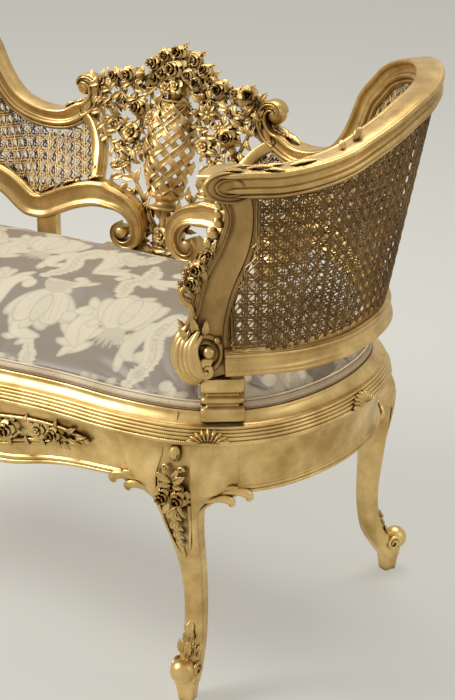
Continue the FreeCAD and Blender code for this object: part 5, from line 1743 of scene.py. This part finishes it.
def knee_carving(share, rows, heading=None, roses=True):
    """Bud, collar of leaves, roses and a drop of husks down the face of the leg."""
    def face(height):
        return leg_face(share, rows, height, heading)
    shapes = []
    for turn, size in ((90, 1.0), (62, 0.7), (118, 0.7)):
        shapes.append(placed(husk_leaf, *face(0.945), 0, -3, 1.5, turn, size, 0.12))
    shapes.append(placed(bud(6.0, 21), *face(0.940), 0, 0, 3, 90, 1.0, 0.1))
    for sign in (-1, 1):
        for turn, size, rise in ((90 - sign * 58, 0.72, 0), (90 - sign * 30, 0.62, 3),
                                 (90 - sign * 86, 0.5, -5)):
            shapes.append(placed(acanthus, *face(0.875), sign * 1.5, rise, 2.2, turn, size, 0.12))
        shapes.append(placed(volute(vec(0, 0, 0), vec(1, 0, 0), vec(0, 1, 0), 5.2, 1.1, 0.42), *face(0.915),
                             sign * 10.5, 0, 3.2))
        if roses:
            shapes.append(placed(full_rose, *face(0.825), sign * 10.0, 0, 3.4, 35 * sign, 0.86, 0.0))
        shapes.append(placed(acanthus, *face(0.790), sign * 6, 0, 0.0, 270 + sign * 30, 0.6, 0.03))
    if not roses:
        shapes.append(placed(open_flower, *face(0.825), 0, 0, 2.0, 20, 0.9))
    for height, size in ((0.775, 0.95), (0.725, 0.86), (0.680, 0.72), (0.640, 0.58)):
        place = face(height)
        for turn, part in ((270, 1.0), (238, 0.95), (302, 0.95), (212, 0.62), (328, 0.62)):
            shapes.append(placed(husk_leaf, *place, 0, 0, -1.0, turn, size * part, 0.10))
        shapes.append(placed(small_ball, *place, 0, 2, 0.5, 0, size * 0.8))
    shapes.append(placed(bud(3.4, 24), *face(0.612), 0, 0, 0.0, 270))
    for sign in (-1, 1):
        heights = np.linspace(0.80, 0.545, 26)
        half = np.interp(heights, (0.545, 0.60, 0.70, 0.80), (0.6, 9.5, 16.5, 21.0))
        line = np.array([leg_face(share, rows, h, heading)[0]
                         + leg_face(share, rows, h, heading)[1] * sign * w
                         for h, w in zip(heights, half)])
        shapes.append(tube(line, np.linspace(2.2, 1.3, len(line)), 8, vec(0, 0, 1)))
    return join(shapes)


# Leaves of the ankle's cuff: shape, across, turn, size, and height as a share of the leg's
ANKLE_LEAVES = [
    (slim_leaf, 0, 90, 1.45, 0.212), (slim_leaf, -4.5, 96, 1.0, 0.20), (slim_leaf, 4.5, 84, 1.0, 0.20),
    (acanthus, -9, 112, 0.62, 0.168), (acanthus, 9, 68, 0.62, 0.168), (acanthus, -4.5, 98, 0.72, 0.165),
    (acanthus, 4.5, 82, 0.72, 0.165), (acanthus, 0, 90, 0.8, 0.158),
]


def ankle_carving(share, rows, heading=None):
    """Cuff of acanthus that stands up round the ankle from the foot's scroll."""
    shapes = []
    for leaf, across, turn, size, height in ANKLE_LEAVES:
        shapes.append(placed(leaf, *leg_face(share, rows, height, heading), across, 0,
                             -0.5 - abs(across) * 0.22, turn, size, 0.05))
    return join(shapes)


def bracket_lip(start, direction, heights):
    """Raised lip along the hollow under a rail, ending in leaves that curl off its end."""
    part = np.linspace(0, 1, 14)
    shares = start - direction * BRACKET_REACH * part
    lower = heights(shares) - BRACKET_DROP * (1 - part) ** 2 - 1.0
    line = station(shares, -15.5, lower)[0]
    shapes = [tube(line, np.linspace(2.4, 3.2, len(line)), 9, vec(0, 0, 1))]
    for row, turn, size, drop, ahead in ((9, 0, 1.25, 1.5, 1.6), (4, 8, 1.15, 1.5, 2.4),
                                         (8, 6, 0.8, 7.5, 1.0)):
        place, tangent, normal = spot(shares[row], -14.5, lower[row] + 3.0)
        shapes.append(placed_mirrored(plume, place, tangent * -direction, normal, drop, ahead, turn, size))
    return join(shapes)


def placed_mirrored(shape, place, side, normal, rise, ahead, turn, size):
    """Set a shape on an upright surface with its +X end along side, whichever hand the surface has."""
    a, up = math.radians(turn), vec(0, 0, 1)
    x = side * math.cos(a) + up * math.sin(a)
    y = up * math.cos(a) - side * math.sin(a)
    return moved(shape, place + up * rise + normal * ahead, x, y, normal, size)


def end_heights(shares):
    """Height of the lower edge of the end aprons."""
    return np.full(len(shares), APRON_BOTTOM)


def knee_skirt(share, rows, direction, heights, heading=None):
    """Smooth skin that carries the face of a rail over onto the shoulder of the leg."""
    start = share - direction * LEG_GIRTH / 2 / HALF_LENGTH
    leg_rows = np.array(rows)[::-1]
    rows_of_points = []
    u = np.r_[0, 0.004, np.linspace(0.03, 0.97, 14), 0.996, 1][:, None]
    for v in np.linspace(0, 1, 22):
        part = float(np.interp(v, (0, 0.55, 1), (1.0, 1.0, 0.12)))
        place = start - direction * BRACKET_REACH * part
        low = float(heights(np.array([place]))[0]) - BRACKET_DROP * (1 - part) ** 2
        height = float(np.interp(v, (0, 0.55, 1), (SKIRT_TOP, low + 3.0, low + 1.0)))
        offset = APRON_OUTER - 5.4 * min(max(APRON_TOP - height, 0) / 62, 1) - 0.35
        first, tangent, normal = spot(place, offset, height)
        level = min(height, SKIRT_TOP - 100 * v) / MOULDING_BOTTOM
        face, side, up = leg_face(share, rows, level, heading)
        ahead = np.cross(side, up)
        half = float(np.interp(level, leg_rows[:, 0], leg_rows[:, 3])) * LEG_GIRTH
        last = face - side * direction * half * float(np.interp(level, (0.88, 0.96), (0.86, 0.70)))
        last = last - ahead * float(np.interp(level, (0.88, 0.96), (0.9, 0.35)))
        length = np.linalg.norm(last - first)
        leave = (tangent * direction + normal * 0.02) * length
        arrive = (side * direction - ahead * 0.02) * length * 0.8
        skin = ((2 * u ** 3 - 3 * u ** 2 + 1) * first + (u ** 3 - 2 * u ** 2 + u) * leave
                + (3 * u ** 2 - 2 * u ** 3) * last + (u ** 3 - u ** 2) * arrive)
        rows_of_points.append(np.vstack([skin, (skin - normal * 5.0)[::-1]]))
    return closed(np.array(rows_of_points))


def leg_carving(share, rows, lips, front, heading=None, roses=True):
    """Knee, ankle and the brackets that carry the rails into one leg."""
    shapes = [knee_carving(share, rows, heading, roses), ankle_carving(share, rows, heading)]
    shapes += [bracket_lip(lips[0], 1, front), bracket_lip(lips[1], -1, end_heights)]
    shapes += [knee_skirt(share, rows, 1, front, heading),
               knee_skirt(share, rows, -1, end_heights, heading)]
    return join(shapes)


front_lips = (front_span + 0.004, front_span_end - 0.002)
front_carving = leg_carving(FRONT_LEG_SHARE, FRONT_LEG, front_lips, front_bottom, FRONT_LEG_FACING)
make_pair("carved_knee_front", front_carving, gold)
rear_carving = leg_carving(REAR_LEG_SHARE, REAR_LEG, (rear_span, rear_span_end), end_heights, roses=False)
make_pair("carved_knee_rear", rear_carving, gold)


def apron_place(share, height, proud=0.0):
    """Point on the face of the front apron, with its side and up."""
    reach = (APRON_TOP - front_bottom(abs(share))) / (APRON_TOP - APRON_BOTTOM)
    offset = APRON_OUTER - 5.5 * np.clip((APRON_TOP - height) / reach / 53, 0, 1) + proud
    place, tangent, _ = spot(share, offset, height)
    return place, tangent, vec(0, 0, 1)


# Apron panel: half its length as a share of the outline, and the height of its middle at such shares
PANEL_END = 0.175
PANEL_MIDDLE = [(0, 321), (0.06, 326), (0.10, 333), (0.14, 338), (PANEL_END, 339.5)]
PANEL_FLOWERS = [(0.0, 1.05, full_rose), (0.040, 0.80, rose), (0.076, 0.98, full_rose),
                 (0.112, 0.72, open_flower), (0.133, 0.80, full_rose)]
# Leaves of the panel: share, rise, turn and size
PANEL_LEAVES = [(0.148, 5, 30, 0.8), (0.150, -3, -8, 0.9), (0.158, 3, 8, 0.85), (0.143, -7, -40, 0.7),
                (0.168, 0, 2, 0.6), (0.095, 10, 60, 0.6), (0.096, -9, -60, 0.6), (0.055, 10, 100, 0.6)]


def panel_middle(share):
    """Height of the apron panel's middle line."""
    return np.interp(np.abs(share), *np.transpose(PANEL_MIDDLE))


def apron_carving():
    """Long framed panel of roses and leaves in the middle of the front apron."""
    shapes = []
    share = np.linspace(-PANEL_END, PANEL_END, 90)
    lens = np.clip(1 - np.abs(share / PANEL_END) ** 3.2, 0, 1)
    for level, radius in ((1, 2.6), (-1, 2.9), (-1.34, 2.2)):
        heights = panel_middle(share) + level * 17.5 * lens
        line = np.array([apron_place(s, h, 0.8)[0] for s, h in zip(share, heights)])
        shapes.append(tube(line, radius, 8, vec(0, 0, 1)))
    for place, size, shape in PANEL_FLOWERS:
        for sign in ((-1, 1) if place else (1,)):
            face = apron_place(sign * place, float(panel_middle(place)))
            shapes.append(placed(shape, *face, 0, 0, 4.0, float(rng.uniform(0, 360)), size))
            for k in range(5):
                turn = k * 72 + float(rng.uniform(-20, 20))
                a = math.radians(turn)
                across, rise = 7 * size * math.cos(a), 6 * size * math.sin(a)
                leaf_size = float(rng.uniform(0.6, 0.8))
                shapes.append(placed(slim_leaf, *face, across, rise, 1.0, turn, leaf_size, 0.08))
    for sign in (-1, 1):
        for place, rise, turn, size in PANEL_LEAVES:
            face = apron_place(sign * place, float(panel_middle(place)))
            shapes.append(placed(slim_leaf, *face, 0, rise, 1.5, turn if sign > 0 else 180 - turn, size,
                                 0.08))
    return join(shapes)


make("carved_apron_panel", apron_carving(), gold)


def palmette(share):
    """Shell of lobes on the reeds of the moulding."""
    place, tangent, normal = spot(share, 0.0, 371.5)
    up = unit(vec(0, 0, 14.8) - normal * 9.1)
    shapes = []
    for k in range(-4, 5):
        ahead, turn, size = 2.2 - 0.1 * abs(k), 90 - k * 20.0, 0.95 * (1 - 0.004 * k * k)
        shapes.append(placed(shell_lobe, place, tangent, up, 2.6 * k, abs(k) * -0.3, ahead, turn, size,
                             0.03))
    for sign in (-1, 1):
        shapes.append(placed(slim_leaf, place, tangent, up, sign * 12, 0.5, 1.2, 90 - sign * 84, 0.62,
                             0.02))
    return join(shapes)


make_pair("carved_palmette", join([palmette(0.311), palmette(0.5), palmette(REAR_LEG_SHARE)]), gold)


def on_post_face(shape, along, rise, depth=18.0, turn=0.0, size=1.0, tip=0.0, outer=1):
    """Set a shape on the outer or the inner face of the arm post."""
    side = POST_SIDE * outer
    return placed(shape, on_post(along, rise, depth * outer), side, POST_UP, 0, 0, 0,
                  turn if outer > 0 else 180 - turn, size, tip)


def base_acanthus():
    """Fluted leaf that folds round the foot of the arm post into an eye."""
    shapes = []
    for outer in (1, -1):
        for k in range(5):
            t = k / 4
            start = vec(-38 + 14 * t, 54 - 4 * t + 5 * (k % 2))
            high = vec(-50 + 18 * t, 38 - 2 * t)
            low = vec(-49 + 19 * t, 11 + 8 * t)
            under = vec(-34 + 9 * t, -5 + 12 * t)
            eye = vec(-17 + 1 * t, 2 + 5 * t)
            rows = smooth_line([start, high, low, under, eye], 7)
            depth = 9 + 15 * math.sin(t * math.pi * 0.55)
            rise = np.sin(np.linspace(0.15, 2.9, len(rows)))
            line = np.array([on_post(a, b, outer * (depth * 0.72 + 7.5 * s)) for (a, b),
                             s in zip(rows, rise)])
            radius = 1.0 + 4.3 * np.sin(np.linspace(0.25, 2.75, len(line))) ** 0.8
            shapes.append(tube(line, radius, 9, POST_OUT))
        shapes.append(volute(on_post(-19, 10, outer * 21), POST_SIDE * outer, POST_UP, 14.0, 1.35, 0.42,
                             1.0))
        shapes.append(placed(knob, on_post(-16, 31, outer * 20), POST_SIDE, POST_UP, size=1.25))
        shapes.append(placed(knob, on_post(-6, 44, outer * 17), POST_SIDE, POST_UP, size=0.7))
        for along, rise, turn, size in ((-30, 52, 104, 0.75), (-20, 50, 84, 0.65), (-40, 45, 122, 0.65)):
            shapes.append(on_post_face(acanthus, along, rise, 15.0, turn, size, 0.12, outer))
    line = smooth_line([(-36, 58), (-47, 44), (-50, 24), (-45, 6), (-34, -6)], 6)
    shapes.append(tube(np.array([on_post(a, b) for a, b in line]),
                       3.5 + 6.0 * np.sin(np.linspace(0.2, 2.9, len(line))), 12, POST_OUT))
    return join(shapes)


def front_buds():
    """Buds and roses up the front edge of the arm post, over a small curling lip."""
    shapes = []
    edge = smooth_line([(rise * POST_HEIGHT, along * POST_HEIGHT) for rise, along, _ in POST_ROWS], 6)

    def front(rise):
        return float(np.interp(rise, edge[:, 0], edge[:, 1]))

    for rise, out, size, shape in ((106, 12, 1.0, full_rose), (122, 12, 1.12, full_rose),
                                   (139, 9, 0.82, rose)):
        along = front(rise) - out + 6
        for turn, depth in ((0, 0), (50, 9), (-50, -9)):
            normal = unit(-POST_SIDE * math.cos(math.radians(turn)) + POST_OUT * math.sin(math.radians(turn)))
            side = unit(np.cross(POST_UP, normal))
            shapes.append(moved(shape, on_post(along, rise + 4 * (turn != 0), depth), side, POST_UP, normal,
                                size * (1 if turn == 0 else 0.66)))
            for angle in (math.radians(75), math.radians(255)):
                x = side * math.cos(angle) + POST_UP * math.sin(angle)
                shapes.append(moved(slim_leaf, on_post(along + 3, rise, depth) + x * 5, x,
                                    np.cross(normal, x), normal, 0.8))
    for rise, out, size in ((150, 3, 1.0), (161, 2, 1.1), (174, 1, 0.9)):
        along = front(rise) - out
        for turn in (25, -35):
            x = unit(POST_UP * 0.7 - POST_SIDE + POST_OUT * math.tan(math.radians(turn)) * 0.8)
            y = unit(np.cross(POST_OUT, x))
            shapes.append(moved(bud(5.2, 15), on_post(along, rise, turn * 0.15), x, y, np.cross(x, y),
                                size))
    for rise, lift in ((182, 5), (192, 4)):
        along = front(rise) - lift
        shapes.append(moved(bud(4.0, 13), on_post(along, rise, 3), unit(POST_UP - POST_SIDE * 0.4),
                            POST_OUT, unit(np.cross(POST_UP, POST_OUT))))
    for outer in (1, -1):
        rows = smooth_line([(-31, 70), (-36, 84), (-44, 90), (-47, 100), (-42, 106), (-37, 101)], 6)
        line = np.array([on_post(a, b, outer * 13.0) for a, b in rows])
        shapes.append(tube(line, np.linspace(3.6, 2.2, len(line)), 9, POST_OUT))
    return join(shapes)


make_pair("carved_arm_foot", base_acanthus(), wing_gold_shaded)
make_pair("carved_arm_buds", front_buds(), wing_gold_shaded)


def on_rail(shape, rail, index, across, rise, turn, size=1.0, tip=0.08, face="up"):
    """Set a shape on a wing rail, on its top or on its outer or inner side; turn 0 runs on along the rail."""
    points, outs, ups = rail
    along = unit(points[index + 1] - points[index - 1])
    normal = {"up": ups[index], "out": outs[index], "in": -outs[index]}[face]
    other = np.cross(normal, along)
    a = math.radians(turn)
    x = along * math.cos(a) + other * math.sin(a)
    place = points[index] + outs[index] * across + ups[index] * rise
    return moved(shape, place, unit(x + normal * tip), np.cross(normal, x), normal, size)


def crest_carving():
    """Leaves that fold over the crest's front end and its inner scroll."""
    shapes = []
    for row, across, turn, size in ((3, -3, 10, 1.0), (3, 5, -10, 1.0), (9, -5, 16, 0.9), (9, 6, -16, 0.9),
                                    (14, 0, 0, 1.1), (6, 0, 0, 1.1)):
        shapes.append(on_rail(flat_leaf, CREST_RAIL, row, across, 0.5, turn, size * 0.9, 0.02))
    shapes.append(on_rail(bud(5.0, 16), CREST_RAIL, 27, -2, 2.0, 0, 1.0, 0.5))
    shapes.append(on_rail(bud(3.6, 12), CREST_RAIL, 24, 3, 1.5, 60, 1.0, 0.5))
    last = len(CREST) - CURL_PARTS
    for face, across in (("in", -12.0), ("out", 12.0)):
        flip = 1 if face == "in" else -1
        for back, rise, turn, size in ((-10, -8, 176, 0.85), (-18, -11, 172, 0.85), (-14, -19, 180, 0.8)):
            shapes.append(on_rail(flat_leaf, CREST_RAIL, last - back, across, rise, turn * flip, size, 0.02,
                                  face))
    for back, across, turn, size in ((-6, -5, 186, 0.9), (-6, 5, 174, 0.9), (-14, 0, 180, 1.0),
                                     (2, 0, 180, 0.9)):
        shapes.append(on_rail(acanthus, CREST_RAIL, last - back, across, 0.0, turn, size, 0.03))
    return join(shapes)


def low_carving():
    """Leaf sprays and knobs over the foot scroll of the lower rail."""
    shapes = []
    last = len(LOW) - CURL_PARTS
    for back, across, turn, size in ((30, -4, 8, 0.9), (30, 5, -8, 0.9), (22, 0, 0, 1.0), (15, -5, 12, 0.9),
                                     (15, 5, -12, 0.9), (8, 0, 0, 1.0)):
        shapes.append(on_rail(acanthus, LOW_RAIL, last - back, across, 37.0, turn, size, 0.06))
    for back, across, size in ((20, 4, 0.7), (11, -2, 0.85), (-4, 0, 0.9)):
        shapes.append(on_rail(knob, LOW_RAIL, last - back, across, 38.0, 0, size))
    return join(shapes)


make_pair("carved_crest_leaves", crest_carving(), wing_gold_shaded)
make_pair("carved_foot_leaves", low_carving(), wing_gold_shaded)


# Camera, light and stage

# Lamps: name, place, target, size and power
LAMPS = [
    ("key", (-2.0, -1.5, 2.6), (0, 0, 0.4), (1.4, 1.0), 90),
    ("side", (2.6, 0.6, 1.6), (0, 0, 0.5), (0.6, 1.6), 5),
    ("top", (0.0, 1.0, 3.0), (0, 0, 0.4), (2.0, 1.0), 36),
]
FLOOR_COLOUR = (0.80, 0.785, 0.72, 1)
FLOOR_GLOW = (0.66, 0.645, 0.58, 1)
FLOOR_GLOW_SHARE = 0.6
FILL_COLOUR = (0.62, 0.61, 0.57, 1)
FILL_STRENGTH = 0.45
BACKDROP_COLOUR = (0.625, 0.61, 0.565, 1)


def add_camera():
    """Camera as the photograph was taken."""
    data = bpy.data.cameras.new("photo_camera")
    data.sensor_width = SENSOR_MM
    data.lens = FOCAL_PX / IMAGE_HEIGHT_PX * SENSOR_MM
    camera = bpy.data.objects.new("photo_camera", data)
    camera.location = CAMERA_PLACE
    camera.rotation_euler = (math.radians(90 - CAMERA_PITCH), 0, math.radians(CAMERA_YAW))
    scene.collection.objects.link(camera)
    scene.camera = camera


def add_lamp(name, place, target, size, power):
    data = bpy.data.lights.new(name, "AREA")
    data.shape = "RECTANGLE"
    data.size, data.size_y = size
    data.energy = power
    lamp = bpy.data.objects.new(name, data)
    lamp.location = place
    lamp.rotation_euler = (Vector(target) - Vector(place)).to_track_quat("-Z", "Y").to_euler()
    scene.collection.objects.link(lamp)


def seen_rays(nodes, links):
    """One for the rays of the camera and of glossy reflections, nought for all others."""
    ray = put(nodes, "ShaderNodeLightPath")
    seen = put(nodes, "ShaderNodeMath", operation="MAXIMUM")
    links.new(ray.outputs["Is Camera Ray"], seen.inputs[0])
    links.new(ray.outputs["Is Glossy Ray"], seen.inputs[1])
    return seen.outputs["Value"]


def add_stage():
    """Pale floor and backdrop, whose glow is for the camera and glossy reflections alone."""
    bpy.ops.mesh.primitive_plane_add(size=14)
    floor = bpy.context.object
    floor.name = "floor"
    material, nodes, links = node_tree("pale_floor")
    out = put(nodes, "ShaderNodeOutputMaterial")
    shader = put(nodes, "ShaderNodeBsdfPrincipled", Roughness=0.9)
    shader.inputs["Base Color"].default_value = FLOOR_COLOUR
    glow = put(nodes, "ShaderNodeEmission")
    glow.inputs["Color"].default_value = FLOOR_GLOW
    share = put(nodes, "ShaderNodeMath", operation="MULTIPLY")
    share.inputs[1].default_value = FLOOR_GLOW_SHARE
    mix = put(nodes, "ShaderNodeMixShader")
    links.new(seen_rays(nodes, links), share.inputs[0])
    links.new(share.outputs["Value"], mix.inputs["Fac"])
    links.new(shader.outputs["BSDF"], mix.inputs[1])
    links.new(glow.outputs["Emission"], mix.inputs[2])
    links.new(mix.outputs["Shader"], out.inputs["Surface"])
    floor.data.materials.append(material)
    world = bpy.data.worlds.new("studio")
    world.use_nodes = True
    nodes, links = world.node_tree.nodes, world.node_tree.links
    fill = nodes["Background"]
    fill.inputs["Color"].default_value = FILL_COLOUR
    fill.inputs["Strength"].default_value = FILL_STRENGTH
    backdrop = put(nodes, "ShaderNodeBackground", Strength=1.0)
    backdrop.inputs["Color"].default_value = BACKDROP_COLOUR
    mix = put(nodes, "ShaderNodeMixShader")
    links.new(seen_rays(nodes, links), mix.inputs["Fac"])
    links.new(fill.outputs["Background"], mix.inputs[1])
    links.new(backdrop.outputs["Background"], mix.inputs[2])
    links.new(mix.outputs["Shader"], nodes["World Output"].inputs["Surface"])
    scene.world = world


add_camera()
for lamp in LAMPS:
    add_lamp(*lamp)
add_stage()
scene.view_settings.view_transform = "Standard"
